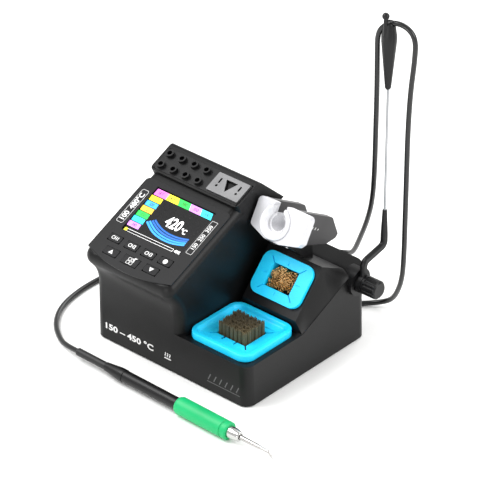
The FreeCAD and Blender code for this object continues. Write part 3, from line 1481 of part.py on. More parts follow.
def blade(label, across, up):
    shape = Part.makeBox(4.0, 2.0, 18.0, Vector(across - 2.0, up - 1.0, -20.0))
    shape.Placement = on_back("inlet_left", "inlet_up")
    return feature(label, shape)


inlet_pins = fuse(
    "inlet_pins",
    blade("pin_earth", 0.0, 3.6), blade("pin_live", -7.0, -1.6), blade("pin_neutral", 7.0, -1.6),
)
inlet_screw_parts = []
for index, across in enumerate((-20, 20)):
    spot = on_back("inlet_left + %d" % across, "inlet_up", 2.6)
    inlet_screw_parts.append(cylinder("inlet_screw_head_%d" % index, "2.8", "1.6", spot))
    spot = on_back("inlet_left + %d" % across, "inlet_up", -8.0)
    inlet_screw_parts.append(cylinder("inlet_screw_shank_%d" % index, "1.45", "10.6", spot))
inlet_screws = fuse("inlet_screws", *inlet_screw_parts)

switch_frame = new_body("switch_frame")
frame_flange = sketch_on(switch_frame, "switch_flange")
rectangle(frame_flange, "21", "15")
pad(switch_frame, frame_flange, "1.8")
round_uprights(switch_frame, "1.5")
frame_shell = sketch_on(switch_frame, "switch_shell")
rectangle(frame_shell, "19", "12.8")
pad(switch_frame, frame_shell, "13", reverse=True)
frame_mouth = sketch_on(switch_frame, "switch_mouth", lift=1.8)
rectangle(frame_mouth, "16.8", "10.6")
pocket(switch_frame, frame_mouth, "10.8")
switch_frame.Placement = on_back("rocker_left", "rocker_up")


def make_rocker():
    """A rocker on a hidden pivot: a shallow V on top and a rounded belly."""
    top = [(-7.9, 3.4), (0.0, 1.2), (7.9, 2.0), (7.9, -1.0), (4.0, -5.2), (-4.0, -5.2), (-7.9, -1.0)]
    points = [Vector(across, -4.9, out) for across, out in top]
    body = Part.Face(Part.makePolygon(points + [points[0]])).extrude(Vector(0, 9.8, 0))
    reach = Part.makeCylinder(8.0, 12.0, Vector(0, -6, 0), Y_AXIS)
    return body.common(reach)


power_rocker = feature("power_rocker", make_rocker())
power_rocker.Placement = on_back("rocker_left", "rocker_up", 0.0)

handle_socket = turned_piece(
    "handle_socket",
    [
        ("3.4", "0 - 8"), ("socket_radius - 0.1", "0 - 8"), ("socket_radius - 0.1", "0"),
        ("9.4", "0"), ("9.4", "2"), ("socket_radius - 0.1", "2"), ("socket_radius - 0.1", "7"),
        ("3.4", "7"),
    ],
    on_back("socket_left", "socket_up"),
)
socket_insert = fuse(
    "socket_insert",
    cylinder("insert_core", "3.4", "10", on_back("socket_left", "socket_up", -6.0)),
    cylinder("insert_flange", "5.5", "1.5", on_back("socket_left", "socket_up", -9.5)),
    cylinder("insert_link", "3.4", "4", on_back("socket_left", "socket_up", -9.5)),
)
cord_plug = turned_piece(
    "cord_plug",
    [
        ("socket_radius + 0.1", "2.3"), ("8.8", "2.3"), ("8.8", "12"), ("7.4", "13.2"),
        ("7.4", "19"), ("4.4", "20.5"), ("3.2", "30"), ("0", "30"), ("0", "7.4"),
        ("socket_radius + 0.1", "7.4"),
    ],
    on_back("socket_left", "socket_up"),
)

# ---------------------------------------------------------------- the iron
strain_relief = turned_piece(
    "strain_relief",
    [
        ("0", "0"), ("boot_radius - 0.4", "0"), ("boot_radius", "0.6"), ("boot_radius", "34"),
        ("0", "34"),
    ],
    on_iron("0"),
)
iron_collar = turned_piece(
    "iron_collar",
    [
        ("0", "34"), ("boot_radius", "34"), ("boot_radius", "29"), ("boot_radius + 0.35", "29"),
        ("boot_flare", "44"), ("boot_flare", "boot_length"), ("0", "boot_length"),
    ],
    on_iron("0"),
)
iron_shaft = turned_piece(
    "iron_shaft",
    [
        ("0", "boot_length"), ("shaft_radius", "boot_length"), ("shaft_radius", "grip_end - 1"),
        ("cartridge_radius + 0.35", "grip_end - 1"), ("cartridge_radius + 0.35", "grip_start - 10"),
        ("0", "grip_start - 10"),
    ],
    on_iron("0"),
)
iron_grip = turned_piece(
    "iron_grip",
    [
        ("shaft_radius", "grip_start"), ("grip_radius - 1.9", "grip_start"),
        ("grip_radius - 0.8", "grip_start + 0.8"), ("grip_radius", "grip_start + 2.6"),
        ("grip_radius", "grip_end - 6"), ("grip_radius - 0.7", "grip_end - 5.6"),
        ("grip_radius - 0.7", "grip_end - 4.6"), ("grip_radius", "grip_end - 4.2"),
        ("grip_radius", "grip_end - 0.8"), ("grip_radius - 0.8", "grip_end"),
        ("shaft_radius", "grip_end"),
    ],
    on_iron("0"),
)
iron_nose = turned_piece(
    "iron_nose",
    [
        ("cartridge_radius + 0.35", "grip_end - 1"), ("shaft_radius", "grip_end - 1"),
        ("shaft_radius", "grip_end + 4"), ("shaft_radius - 0.9", "nose_end - 1"),
        ("shaft_radius - 1.5", "nose_end"), ("cartridge_radius + 0.35", "nose_end"),
    ],
    on_iron("0"),
)


def make_cartridge():
    """The heater cartridge: a straight tube, a thinner end and a small bent tip."""
    radius = amount("cartridge_radius")
    tip = amount("tip_end")
    start = amount("grip_start") - 9.0
    barrel = Part.makeCylinder(radius, tip - 16.0 - start, Vector(0, 0, start))
    neck = Part.makeCone(radius, 1.2, 4.0, Vector(0, 0, tip - 16.0))
    thin = Part.makeCylinder(1.2, 6.0, Vector(0, 0, tip - 12.0))
    knee = Part.makeSphere(1.2, Vector(0, 0, tip - 6.0))
    # in this frame +X points down to the table
    down = Vector(math.sin(math.radians(42)), 0, math.cos(math.radians(42)))
    bend = Part.makeCone(1.2, 0.45, 6.6, Vector(0, 0, tip - 6.0), down)
    return barrel.fuse([neck, thin, knee, bend]).removeSplitter()


iron_cartridge = feature("iron_cartridge", make_cartridge())
iron_cartridge.Placement = on_iron("0")

# ---------------------------------------------------------------- the cord
def route_in_two():
    """The cord's corners as two lists that meet in the middle of a straight run."""
    hung = row(CORD_UP + CORD_OVER + CORD_DOWN)
    lying = row(CORD_FLOOR)
    middle = (hung[-1] + lying[0]) / 2
    return hung + [middle], [middle] + lying


HUNG, LYING = route_in_two()
HUNG[0] = on_back("socket_left", "socket_up", 30.0).Base
LYING[-1] = on_iron("0").Base
tube, bends, length = tube_along(HUNG, amount("cord_radius"))
cord_hung = feature("cord_hung", tube)
print("hung cord length %.0f, radii" % length, [round(bend, 1) for bend in bends])
tube, bends, length = tube_along(LYING, amount("cord_radius"))
cord_floor = feature("cord_floor", tube.cut(strain_relief.Shape))
print("lying cord length %.0f, radii" % length, [round(bend, 1) for bend in bends])

# ---------------------------------------------------------------- write the parts
NODES = [
    "upper_case", "base_plate", "non_slip_pad", "base_screws", "power_board", "transformer",
    "capacitors", "heat_sink", "power_board_screws", "panel_overlay", "display_lens",
    "display_module", "control_board", "control_board_screws", "key_switches", "key_ch1",
    "key_ch2", "key_ch3", "key_power", "key_up", "key_settings", "key_down", "tip_tray",
    "tip_plate", "front_pot", "bristle_brush", "rear_pot", "brass_wool", "holder_face",
    "holder_collar", "holder_sleeve", "holder_cradle", "holder_stand", "holder_screws",
    "clamp_bracket", "clamp_knob", "clamp_stud", "arm_elbow", "arm_rod", "arm_hook",
    "power_inlet", "inlet_pins", "inlet_screws", "switch_frame", "power_rocker",
    "handle_socket", "socket_insert", "cord_plug", "strain_relief", "iron_collar",
    "iron_shaft", "iron_grip", "iron_nose", "iron_cartridge", "cord_hung", "cord_floor",
]
doc.recompute()
for item in doc.Objects:
    for state in item.State:
        if "Invalid" in str(state) or "Error" in str(state):
            raise ValueError("%s is %s" % (item.Label, state))
os.makedirs("parts", exist_ok=True)
for label in NODES:
    found = [item for item in doc.Objects if item.Label == label]
    if len(found) != 1:
        raise ValueError("%d objects are labelled %s" % (len(found), label))
    shape = found[0].Shape
    if shape.isNull() or not shape.isValid() or shape.Volume <= 0:
        raise ValueError("%s has no valid shape" % label)
    shape.exportStep("parts/%s.step" % label)
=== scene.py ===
import bpy
import math
import random
from mathutils import Matrix, Vector


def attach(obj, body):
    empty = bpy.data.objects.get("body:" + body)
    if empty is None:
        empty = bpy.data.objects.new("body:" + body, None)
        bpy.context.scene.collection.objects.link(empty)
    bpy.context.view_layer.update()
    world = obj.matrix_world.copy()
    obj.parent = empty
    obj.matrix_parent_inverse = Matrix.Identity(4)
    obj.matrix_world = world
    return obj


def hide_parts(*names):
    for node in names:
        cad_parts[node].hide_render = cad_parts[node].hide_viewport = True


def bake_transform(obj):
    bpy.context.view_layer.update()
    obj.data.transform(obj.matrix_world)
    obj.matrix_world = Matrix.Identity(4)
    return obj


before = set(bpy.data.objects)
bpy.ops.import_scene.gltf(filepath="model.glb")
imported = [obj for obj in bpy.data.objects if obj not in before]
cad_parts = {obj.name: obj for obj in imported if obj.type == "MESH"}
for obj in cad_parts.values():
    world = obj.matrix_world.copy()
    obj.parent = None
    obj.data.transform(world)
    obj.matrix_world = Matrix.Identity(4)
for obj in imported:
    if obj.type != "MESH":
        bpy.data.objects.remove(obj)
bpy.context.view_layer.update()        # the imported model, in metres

bpy.ops.object.select_all(action="DESELECT")

# ------------------------------------------------------------------ camera
# A long lens on a stand in front of the station's right-hand corner, looking down on it.
bpy.ops.object.camera_add(location=(1.4105, -1.5772, 1.3864))
studio_camera = bpy.context.object
studio_camera.name = "studio_camera"
studio_camera.data.lens = 256.07
studio_camera.data.sensor_width = 36.0
sight_line = Vector((-0.04059, 0.05558, 0.040)) - studio_camera.location
studio_camera.rotation_euler = sight_line.to_track_quat("-Z", "Y").to_euler()
studio_camera.data.clip_start = 0.05
bpy.context.scene.camera = studio_camera


# ------------------------------------------------------------------ handle cord
# The iron's lead: limp silicone-jacketed cable, 4 mm thick and about 0.9 m long. It leaves the
# plug on the rear face, goes up over the arm's hook, down to the table and round to the iron.
MM_PER_M = 1000.0
CASE_WIDTH, CASE_DEPTH = 150.0, 132.5      # the case's foot, in millimetres


def linear(hex_colour):
    """An sRGB hex colour as the linear colour that a shader socket takes."""
    channels = [int(hex_colour[start:start + 2], 16) / 255 for start in (1, 3, 5)]
    light = [c / 12.92 if c <= 0.04045 else ((c + 0.055) / 1.055) ** 2.4 for c in channels]
    return (*light, 1.0)


def add_node(material, kind, settings=None, links=None):
    """Adds a node, sets its fields and sockets, and links its inputs to other outputs."""
    node = material.node_tree.nodes.new(kind)
    for name, value in (settings or {}).items():
        if isinstance(name, int) or name in node.inputs:
            node.inputs[name].default_value = value
        else:
            setattr(node, name, value)
    for socket, source in (links or {}).items():
        material.node_tree.links.new(source, node.inputs[socket])
    return node


def start_material(name, settings):
    """A new material and its surface shader, with constants on the shader's own sockets."""
    material = bpy.data.materials.new(name)
    material.use_nodes = True
    shader = material.node_tree.nodes["Principled BSDF"]
    for socket, value in settings.items():
        shader.inputs[socket].default_value = value
    return material, shader


def grained(name, settings, dark, light, grain_mm, bump_mm, rough):
    """A material with grain of a real size, which mottles its colour and gloss and raises it."""
    material, shader = start_material(name, settings)
    place = add_node(material, "ShaderNodeTexCoord")
    grain = add_node(material, "ShaderNodeTexNoise", {"Scale": MM_PER_M / grain_mm, "Detail": 3.0},
                     {"Vector": place.outputs["Object"]})
    cloud = add_node(material, "ShaderNodeTexNoise", {"Scale": 28.0, "Detail": 2.0},
                     {"Vector": place.outputs["Object"]})
    both = add_node(material, "ShaderNodeMath", {"operation": "MULTIPLY_ADD", 1: 0.5},
                    {0: grain.outputs["Fac"], 2: cloud.outputs["Fac"]})
    span = add_node(material, "ShaderNodeMapRange", {"From Min": 0.45, "From Max": 1.05},
                    {"Value": both.outputs[0]})
    colour = add_node(material, "ShaderNodeMix", {
        "data_type": "RGBA", 6: linear(dark), 7: linear(light)}, {0: span.outputs[0]})
    gloss = add_node(material, "ShaderNodeMapRange", {"To Min": rough[0], "To Max": rough[1]},
                     {"Value": grain.outputs["Fac"]})
    relief = add_node(material, "ShaderNodeBump", {"Strength": 0.6, "Distance": bump_mm / MM_PER_M},
                      {"Height": grain.outputs["Fac"]})
    join = material.node_tree.links.new
    join(colour.outputs[2], shader.inputs["Base Color"])
    join(gloss.outputs[0], shader.inputs["Roughness"])
    join(relief.outputs[0], shader.inputs["Normal"])
    return material


def coat_nodes(material, *nodes):
    """Gives carried-over nodes their finish, in every material slot."""
    for node in nodes:
        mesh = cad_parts[node].data
        mesh.materials.clear()
        mesh.materials.append(material)


def own_mesh(piece, body, material=None):
    """Hands a finished piece to its body and its material."""
    if material is not None:
        piece.data.materials.clear()
        piece.data.materials.append(material)
    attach(piece, body)
    return piece


# moulded silicone rubber: black, slick, with a faint drawn-out grain and soft highlights
cord_jacket = grained("silicone_cable_jacket_black",
                      {"IOR": 1.43, "Coat Weight": 0.25, "Coat Roughness": 0.2},
                      "#050506", "#0d0d0e", 0.9, 0.02, (0.26, 0.40))

# corners of the cord's route, in millimetres from the case's front left corner on the table
CORD_ROUTE = [
    (69.0, 162.5, 22.0), (69.2, 173.0, 21.0), (75.0, 183.2, 18.4), (86.2, 186.6, 19.8),
    (94.9, 183.0, 26.4), (106.0, 176.0, 45.2), (120.0, 167.5, 71.0), (130.2, 160.5, 96.0),
    (135.6, 155.5, 125.8), (139.4, 151.0, 162.7), (142.9, 147.0, 200.5), (145.2, 143.5, 231.0),
    (145.9, 142.4, 246.5), (149.6, 143.3, 254.0), (157.2, 145.2, 259.1), (167.6, 147.7, 258.4),
    (174.9, 149.6, 250.2), (174.2, 149.7, 232.0), (171.0, 150.0, 206.0), (168.9, 151.0, 172.0),
    (167.7, 152.5, 135.5), (166.4, 154.0, 100.6), (164.0, 157.0, 64.5), (159.0, 162.0, 39.0),
    (149.9, 167.6, 19.8), (140.6, 171.6, 7.4), (128.6, 166.6, 2.5), (116.0, 155.0, 2.05),
    (92.0, 147.6, 2.05), (60.0, 146.8, 2.05), (28.0, 143.6, 2.05), (-2.0, 135.4, 2.05),
    (-27.0, 116.5, 2.05), (-45.0, 84.0, 2.05), (-50.4, 46.0, 2.05), (-45.2, 10.0, 2.05),
    (-30.5, -12.5, 2.05), (-10.5, -26.6, 3.0), (1.6, -31.0, 5.2), (13.2, -32.6, 6.8),
]
CORD_RADIUS = 0.002


def at(left, front, up):
    """A point given in millimetres from the case's front left corner, in metres in the frame."""
    return Vector(((left - CASE_WIDTH / 2) / MM_PER_M, (front - CASE_DEPTH / 2) / MM_PER_M,
                   up / MM_PER_M))


def choose(piece):
    """Makes one object the only selected one, and the active one."""
    bpy.ops.object.select_all(action="DESELECT")
    piece.select_set(True)
    bpy.context.view_layer.objects.active = piece


def add_curve(name, points, steps, smooth=True, closed=False):
    """A line along points given in metres, either smooth or with corners, and no thickness."""
    curve = bpy.data.curves.new(name, "CURVE")
    curve.dimensions = "3D"
    run = curve.splines.new("NURBS" if smooth else "POLY")
    run.points.add(len(points) - 1)
    for spot, place in zip(run.points, points):
        spot.co = (*place, 1.0)
    run.use_cyclic_u = closed
    if smooth:
        run.order_u = 3
        run.use_endpoint_u = not closed
        run.resolution_u = steps
    piece = bpy.data.objects.new(name, curve)
    bpy.context.collection.objects.link(piece)
    return piece


def thicken_curve(piece, radius, facets, caps=True):
    """Gives a line a round section, in metres."""
    piece.data.bevel_depth = radius
    piece.data.bevel_resolution = facets
    piece.data.use_fill_caps = caps


cord_line = add_curve("handle_cord_line", [at(*corner) for corner in CORD_ROUTE], 10)
bare = bpy.data.meshes.new_from_object(cord_line)
bpy.data.meshes.remove(bare)
thicken_curve(cord_line, CORD_RADIUS, 5)
choose(cord_line)
bpy.ops.object.convert(target="MESH")
handle_cord = bpy.context.object
handle_cord.name = "handle_cord"
bpy.ops.object.shade_smooth()
handle_cord.data.materials.clear()
handle_cord.data.materials.append(cord_jacket)
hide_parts("cord_hung", "cord_floor")
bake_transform(handle_cord)

# ------------------------------------------------------------------ studio
# A pale seamless table top, one wide soft light above and weaker ones at the right, behind
# and low in front.
bpy.ops.mesh.primitive_plane_add(size=6.0, location=(0, 0, 0))
table_top = bpy.context.object
table_top.name = "studio_floor"
table_paint = grained("studio_floor_paint", {"Roughness": 0.9},
                      "#f3f3f2", "#f8f8f7", 3.0, 0.01, (0.85, 0.95))
table_top.data.materials.append(table_paint)
sky = bpy.data.worlds.new("studio_air")
bpy.context.scene.world = sky
sky.use_nodes = True
sky.node_tree.nodes["Background"].inputs["Color"].default_value = (1.0, 1.0, 1.0, 1.0)
sky.node_tree.nodes["Background"].inputs["Strength"].default_value = 0.8
bpy.context.scene.view_settings.view_transform = "Standard"


def soft_light(name, place, size, power, aim=(0.0, 0.0, 0.06)):
    """A square studio softbox that looks at the station."""
    bpy.ops.object.light_add(type="AREA", location=place)
    lamp = bpy.context.object
    lamp.name = name
    lamp.data.size = size
    lamp.data.energy = power
    lamp.rotation_euler = (Vector(aim) - Vector(place)).to_track_quat("-Z", "Y").to_euler()


soft_light("key_softbox", (-0.7, -0.6, 1.3), 0.9, 22.0)
soft_light("right_softbox", (1.1, 0.2, 0.7), 0.6, 8.0)
soft_light("rear_softbox", (-0.1, 1.2, 0.9), 0.8, 9.0)
soft_light("low_front_softbox", (0.35, -1.3, 0.30), 0.35, 4.0)

# ------------------------------------------------------------------ base
# The station stands on a folded steel plate with a ring-shaped rubber pad glued under it;
# four cross-head screws hold it to bosses in the case.
zinc_plate = grained("zinc_plated_steel", {"Metallic": 1.0, "Anisotropic": 0.3},
                     "#8f9193", "#b9bbbd", 0.8, 0.006, (0.28, 0.45))
pad_rubber = grained("moulded_nitrile_rubber", {"IOR": 1.52},
                     "#141414", "#242424", 0.7, 0.05, (0.65, 0.85))
coat_nodes(zinc_plate, "base_plate", "base_screws")
coat_nodes(pad_rubber, "non_slip_pad")

# ------------------------------------------------------------------ power supply
# Green glass-epoxy board with a wound transformer, two can capacitors and a finned black
# aluminium heat sink, on four screws under the tower.
board_epoxy = grained("glass_epoxy_board_green", {"IOR": 1.55, "Coat Weight": 0.4},
                      "#0f3d24", "#1d6b3c", 1.6, 0.03, (0.25, 0.4))
wound_core = grained("taped_copper_and_ferrite", {"IOR": 1.5},
                     "#5e4a16", "#a98832", 1.2, 0.05, (0.4, 0.6))
black_anodised = grained("black_anodised_aluminium", {"Metallic": 1.0},
                         "#17181a", "#2c2e31", 0.6, 0.01, (0.35, 0.5))
coat_nodes(board_epoxy, "power_board")
coat_nodes(wound_core, "transformer")
coat_nodes(black_anodised, "capacitors", "heat_sink")
coat_nodes(zinc_plate, "power_board_screws")


# ------------------------------------------------------------------ case
# One charcoal ABS moulding, spark-eroded to a fine matt grain that breaks the light into a
# soft sheen; its moulded edges have a small radius that catches a thin bright line.
def level_faces(piece):
    """Smooths the rounded edges and keeps the broad faces flat to the light."""
    choose(piece)
    bpy.ops.object.shade_smooth_by_angle(angle=math.radians(32.0))
    for live in list(piece.modifiers):
        bpy.ops.object.modifier_apply(modifier=live.name)
    flat = piece.modifiers.new("level faces", "WEIGHTED_NORMAL")
    flat.keep_sharp = True
    bpy.ops.object.modifier_apply(modifier=flat.name)


def round_edges(piece, width_mm, segments, sharp):
    """Rounds a piece's edges that turn by more than an angle, with an applied bevel."""
    soft = piece.modifiers.new("edge radius", "BEVEL")
    soft.width = width_mm / MM_PER_M
    soft.segments = segments
    soft.limit_method = "ANGLE"
    soft.angle_limit = math.radians(sharp)
    bpy.ops.object.modifier_apply(modifier=soft.name)


def softened(node, name, radius_mm, body, material):
    """A copy of a node with merged corners and rounded edges, which stands for the node."""
    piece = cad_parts[node].copy()
    piece.data = piece.data.copy()
    piece.parent = None
    for key in list(piece.keys()):
        del piece[key]
    bpy.context.collection.objects.link(piece)
    piece.name = name
    piece.hide_render = False
    piece.hide_viewport = False
    choose(piece)
    bpy.ops.object.mode_set(mode="EDIT")
    bpy.ops.mesh.select_all(action="SELECT")
    bpy.ops.mesh.remove_doubles(threshold=0.00002)
    bpy.ops.mesh.dissolve_limited(angle_limit=math.radians(0.6))
    bpy.ops.mesh.normals_make_consistent(inside=False)
    bpy.ops.object.mode_set(mode="OBJECT")
    if piece.data.has_custom_normals:
        bpy.ops.mesh.customdata_custom_splitnormals_clear()
    if radius_mm:
        round_edges(piece, radius_mm, segments=3, sharp=35.0)
    level_faces(piece)
    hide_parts(node)
    return own_mesh(piece, body, material)


case_abs = grained("moulded_abs_charcoal", {"IOR": 1.53, "Specular IOR Level": 0.22},
                   "#060606", "#0e0e0f", 0.55, 0.035, (0.34, 0.5))
softened("upper_case", "case_shell", 0.9, "station", case_abs)

# ------------------------------------------------------------------ rear face
# Mains inlet with three nickel pins, a black rocker switch in its frame, and the plated
# round socket that the handle's plug screws on to.
black_nylon = grained("moulded_black_nylon", {"IOR": 1.53, "Specular IOR Level": 0.28},
                      "#060607", "#101011", 0.5, 0.025, (0.32, 0.48))
softened("power_inlet", "mains_inlet", 0.4, "station", black_nylon)
softened("switch_frame", "switch_bezel", 0.3, "station", black_nylon)
softened("power_rocker", "switch_rocker", 0.3, "rocker", black_nylon)
coat_nodes(black_nylon, "cord_plug")
coat_nodes(zinc_plate, "inlet_pins", "inlet_screws", "handle_socket")
coat_nodes(black_nylon, "socket_insert")

# ------------------------------------------------------------------ display
# A 2.8 inch colour module behind a clear lens. The lens is optically bonded, so the picture
# looks as if it lies in the glass: tabs, a large set temperature, blue arcs and a bar.
coat_nodes(black_anodised, "display_module")
coat_nodes(board_epoxy, "control_board")
coat_nodes(zinc_plate, "control_board_screws")
coat_nodes(black_nylon, "key_switches")
screen_glass = grained("bonded_display_glass", {"IOR": 1.5, "Specular IOR Level": 0.25},
                       "#030304", "#08080a", 2.0, 0.001, (0.22, 0.3))
coat_nodes(screen_glass, "display_lens")
PANEL_SLOPE = math.radians(24.2)
PANEL = Matrix.Translation(at(0.0, 0.0, 85.6)) @ Matrix.Rotation(PANEL_SLOPE, 4, "X")
INK_THICKNESS = 0.06


def lit_ink(name, hex_colour, glow):
    """A lit picture colour: a fine mottle dims it slightly, and it glows a little."""
    ink, shader = start_material(name, {"Emission Strength": glow, "Roughness": 0.3})
    place = add_node(ink, "ShaderNodeTexCoord")
    mottle = add_node(ink, "ShaderNodeTexNoise", {"Scale": 1400.0},
                      {"Vector": place.outputs["Object"]})
    colour = linear(hex_colour)
    brighter = tuple(min(1.0, part * 1.12) for part in colour)
    tint = add_node(ink, "ShaderNodeMix", {"data_type": "RGBA", 6: colour, 7: brighter},
                    {0: mottle.outputs["Fac"]})
    ink.node_tree.links.new(tint.outputs[2], shader.inputs["Base Color"])
    ink.node_tree.links.new(tint.outputs[2], shader.inputs["Emission Color"])
    return ink


def filled_outline(name, points, lift, thick=INK_THICKNESS):
    """A small filled print with straight sides on the panel, in millimetres."""
    bpy.ops.object.select_all(action="DESELECT")
    bpy.ops.mesh.primitive_circle_add(vertices=len(points), radius=0.001, fill_type="NGON",
                                      location=(0, 0, 0))
    piece = bpy.context.object
    piece.name = name
    for vertex, (left, up) in zip(piece.data.vertices, points):
        vertex.co = (left / MM_PER_M, up / MM_PER_M, 0.0)
    bpy.ops.object.mode_set(mode="EDIT")
    bpy.ops.mesh.select_all(action="SELECT")
    bpy.ops.mesh.extrude_region_move(TRANSFORM_OT_translate={"value": (0, 0, thick / MM_PER_M)})
    bpy.ops.mesh.select_all(action="SELECT")
    bpy.ops.mesh.normals_make_consistent(inside=False)
    bpy.ops.object.mode_set(mode="OBJECT")
    piece.data.transform(PANEL @ Matrix.Translation((0, 0, lift / MM_PER_M)))
    return piece


def flat_tab(name, left, up, wide, tall, lift, lean=0.0):
    """A thin four-cornered print on the panel, its upper edge pushed along by lean."""
    x, y = wide / 2, tall / 2
    corners = [(left - x, up - y), (left + x, up - y),
               (left + x + lean, up + y), (left - x + lean, up + y)]
    return filled_outline(name, corners, lift, thick=0.05)


def drawn_line(name, points, width, lift, closed=False, smooth=False, turn=PANEL):
    """A thin printed line through points on the panel, in millimetres."""
    flat_points = [(left / MM_PER_M, up / MM_PER_M, 0.0) for left, up in points]
    piece = add_curve(name, flat_points, 6, smooth, closed)
    thicken_curve(piece, width / 2 / MM_PER_M, 1)
    choose(piece)
    bpy.ops.object.convert(target="MESH")
    piece = bpy.context.object
    squeeze = Matrix.Diagonal((1.0, 1.0, INK_THICKNESS / width, 1.0))
    piece.data.transform(turn @ Matrix.Translation((0, 0, lift / MM_PER_M)) @ squeeze)
    return piece


CAPITALS_TO_SIZE = 1.38                    # type size over the height of its capitals


def printed_words(name, words, left, up, height, lift, turn=0.0, stretch=1.0, heavy=0.0,
                  place=PANEL):
    """Plain printed characters on the panel, centred on a point, in millimetres."""
    bpy.ops.object.select_all(action="DESELECT")
    bpy.ops.object.text_add(location=(0, 0, 0))
    piece = bpy.context.object
    piece.name = name
    piece.data.body = words
    piece.data.align_x = "CENTER"
    piece.data.align_y = "CENTER"
    piece.data.size = height * CAPITALS_TO_SIZE / MM_PER_M
    piece.data.offset = heavy / MM_PER_M
    piece.data.extrude = 0.00003
    piece.data.resolution_u = 3
    bpy.ops.object.convert(target="MESH")
    piece = bpy.context.object
    spin = Matrix.Rotation(math.radians(turn), 4, "Z") @ Matrix.Diagonal((stretch, 1.0, 1.0, 1.0))
    piece.data.transform(place @ Matrix.Translation(Vector((left, up, lift)) / MM_PER_M) @ spin)
    return piece


def joined(name, pieces):
    """Several pieces as one, under a new name."""
    bpy.ops.object.select_all(action="DESELECT")
    for piece in pieces:
        piece.select_set(True)
    bpy.context.view_layer.objects.active = pieces[0]
    if len(pieces) > 1:
        bpy.ops.object.join()
    bpy.context.object.name = name
    return bpy.context.object


SCREEN_LIFT = -0.88                        # the picture's height over the panel's plane
WORD_LIFT = SCREEN_LIFT + 0.06
SIDE_TAB_STEP = 5.2
TAB_COLOURS = {"magenta": "#f070e8", "yellow": "#f4ec28", "green": "#20d84e", "violet": "#d488f2",
               "cyan": "#28d8f0", "blue": "#3aa8f4", "orange": "#f4c23c"}
tab_inks = {name: lit_ink("picture_" + name, value, 0.55) for name, value in TAB_COLOURS.items()}
top_tabs = [("magenta", 20.9, 11.8, 0.0), ("yellow", 32.9, 12.2, -2.2), ("green", 44.2, 11.4, -2.2),
            ("violet", 55.2, 11.0, -2.2), ("cyan", 65.8, 10.4, -2.2)]
for count, (ink, left, wide, lean) in enumerate(top_tabs):
    tab = flat_tab("picture_top_tab_%d" % count, left + 1.0, 54.6, wide, 5.6, SCREEN_LIFT, lean)
    own_mesh(tab, "station", tab_inks[ink])
side_tabs = ["yellow", "blue", "orange", "green", "cyan", "violet"]
for count, ink in enumerate(side_tabs):
    tab = flat_tab("picture_side_tab_%d" % count, 21.3, 48.6 - SIDE_TAB_STEP * count, 11.0, 4.5,
                   SCREEN_LIFT, -0.6)
    own_mesh(tab, "station", tab_inks[ink])
white_ink = lit_ink("picture_white", "#f6f6f6", 0.9)
reading = printed_words("picture_reading", "420", 48.6, 36.4, 9.6, SCREEN_LIFT, 0.0, 0.74, 0.25)
degrees = printed_words("picture_degrees", "°C", 59.8, 34.2, 4.4, SCREEN_LIFT, 0.0, 0.8, 0.12)
own_mesh(joined("picture_temperature", [reading, degrees]), "station", white_ink)
tab_words = []
for count, word in enumerate(("SET", "420", "380", "350", "300")):
    left = top_tabs[count][1] + 0.2
    tab_words.append(printed_words("tab_word", word, left, 54.5, 2.7, WORD_LIFT, 0, 0.9, 0.05))
for count, word in enumerate(("1", "320", "2", "350", "3", "380")):
    up = 48.5 - SIDE_TAB_STEP * count
    tab_words.append(printed_words("tab_word", word, 21.2, up, 2.4, WORD_LIFT, 0, 0.9, 0.04))
shade_ink = lit_ink("picture_shaded_letters", "#2c2a20", 0.02)
own_mesh(joined("picture_tab_words", tab_words), "station", shade_ink)
arc_ink = lit_ink("picture_arc_blue", "#2a8fe0", 0.6)
arc_dark = lit_ink("picture_arc_deep_blue", "#1460b4", 0.35)
arcs = []
for count in range(4):
    run = [(33.0 - 1.6 * count, 33.4 - 1.3 * count), (40.0 - 1.2 * count, 29.6 - 1.9 * count),
           (50.0 - 0.4 * count, 27.6 - 2.1 * count), (61.0, 28.0 - 2.0 * count),
           (68.5, 30.4 - 1.8 * count)]
    arcs.append(drawn_line("arc", run, 1.55 + 0.25 * (count % 2), SCREEN_LIFT, smooth=True))
own_mesh(joined("picture_arcs", arcs[:2]), "station", arc_dark)
own_mesh(joined("picture_bright_arcs", arcs[2:]), "station", arc_ink)
bar_outline = [(18.0, 15.6), (63.6, 16.2), (63.6, 18.4), (18.0, 17.8)]
bar = drawn_line("picture_bar", bar_outline, 0.42, SCREEN_LIFT, closed=True)
bar_words = printed_words("bar_words", "40%", 67.6, 17.4, 2.6, SCREEN_LIFT, 0, 0.9, 0.05)
own_mesh(joined("picture_progress", [bar, bar_words]), "station", white_ink)
dot = flat_tab("picture_bar_end", 17.8, 16.8, 2.6, 2.6, SCREEN_LIFT + 0.03)
own_mesh(dot, "station", tab_inks["yellow"])

# ------------------------------------------------------------------ panel overlay
# A printed polycarbonate film on the sloping panel, velvet textured, with thin white frames
# and a temperature scale either side of the screen.
film = grained("velvet_polycarbonate_film", {"IOR": 1.58, "Specular IOR Level": 0.2},
               "#070708", "#101012", 0.35, 0.01, (0.38, 0.5))
coat_nodes(film, "panel_overlay")
print_white = grained("screen_printed_white", {"IOR": 1.5},
                      "#dededd", "#efefee", 0.6, 0.006, (0.4, 0.55))
FILM_LIFT = 0.22


def clipped_frame(name, left, right, low, high, cut, width, lift):
    """A thin printed frame with clipped corners."""
    run = [(left + cut, low), (right - cut, low), (right, low + cut), (right, high - cut),
           (right - cut, high), (left + cut, high), (left, high - cut), (left, low + cut)]
    return drawn_line(name, run, width, lift, closed=True)


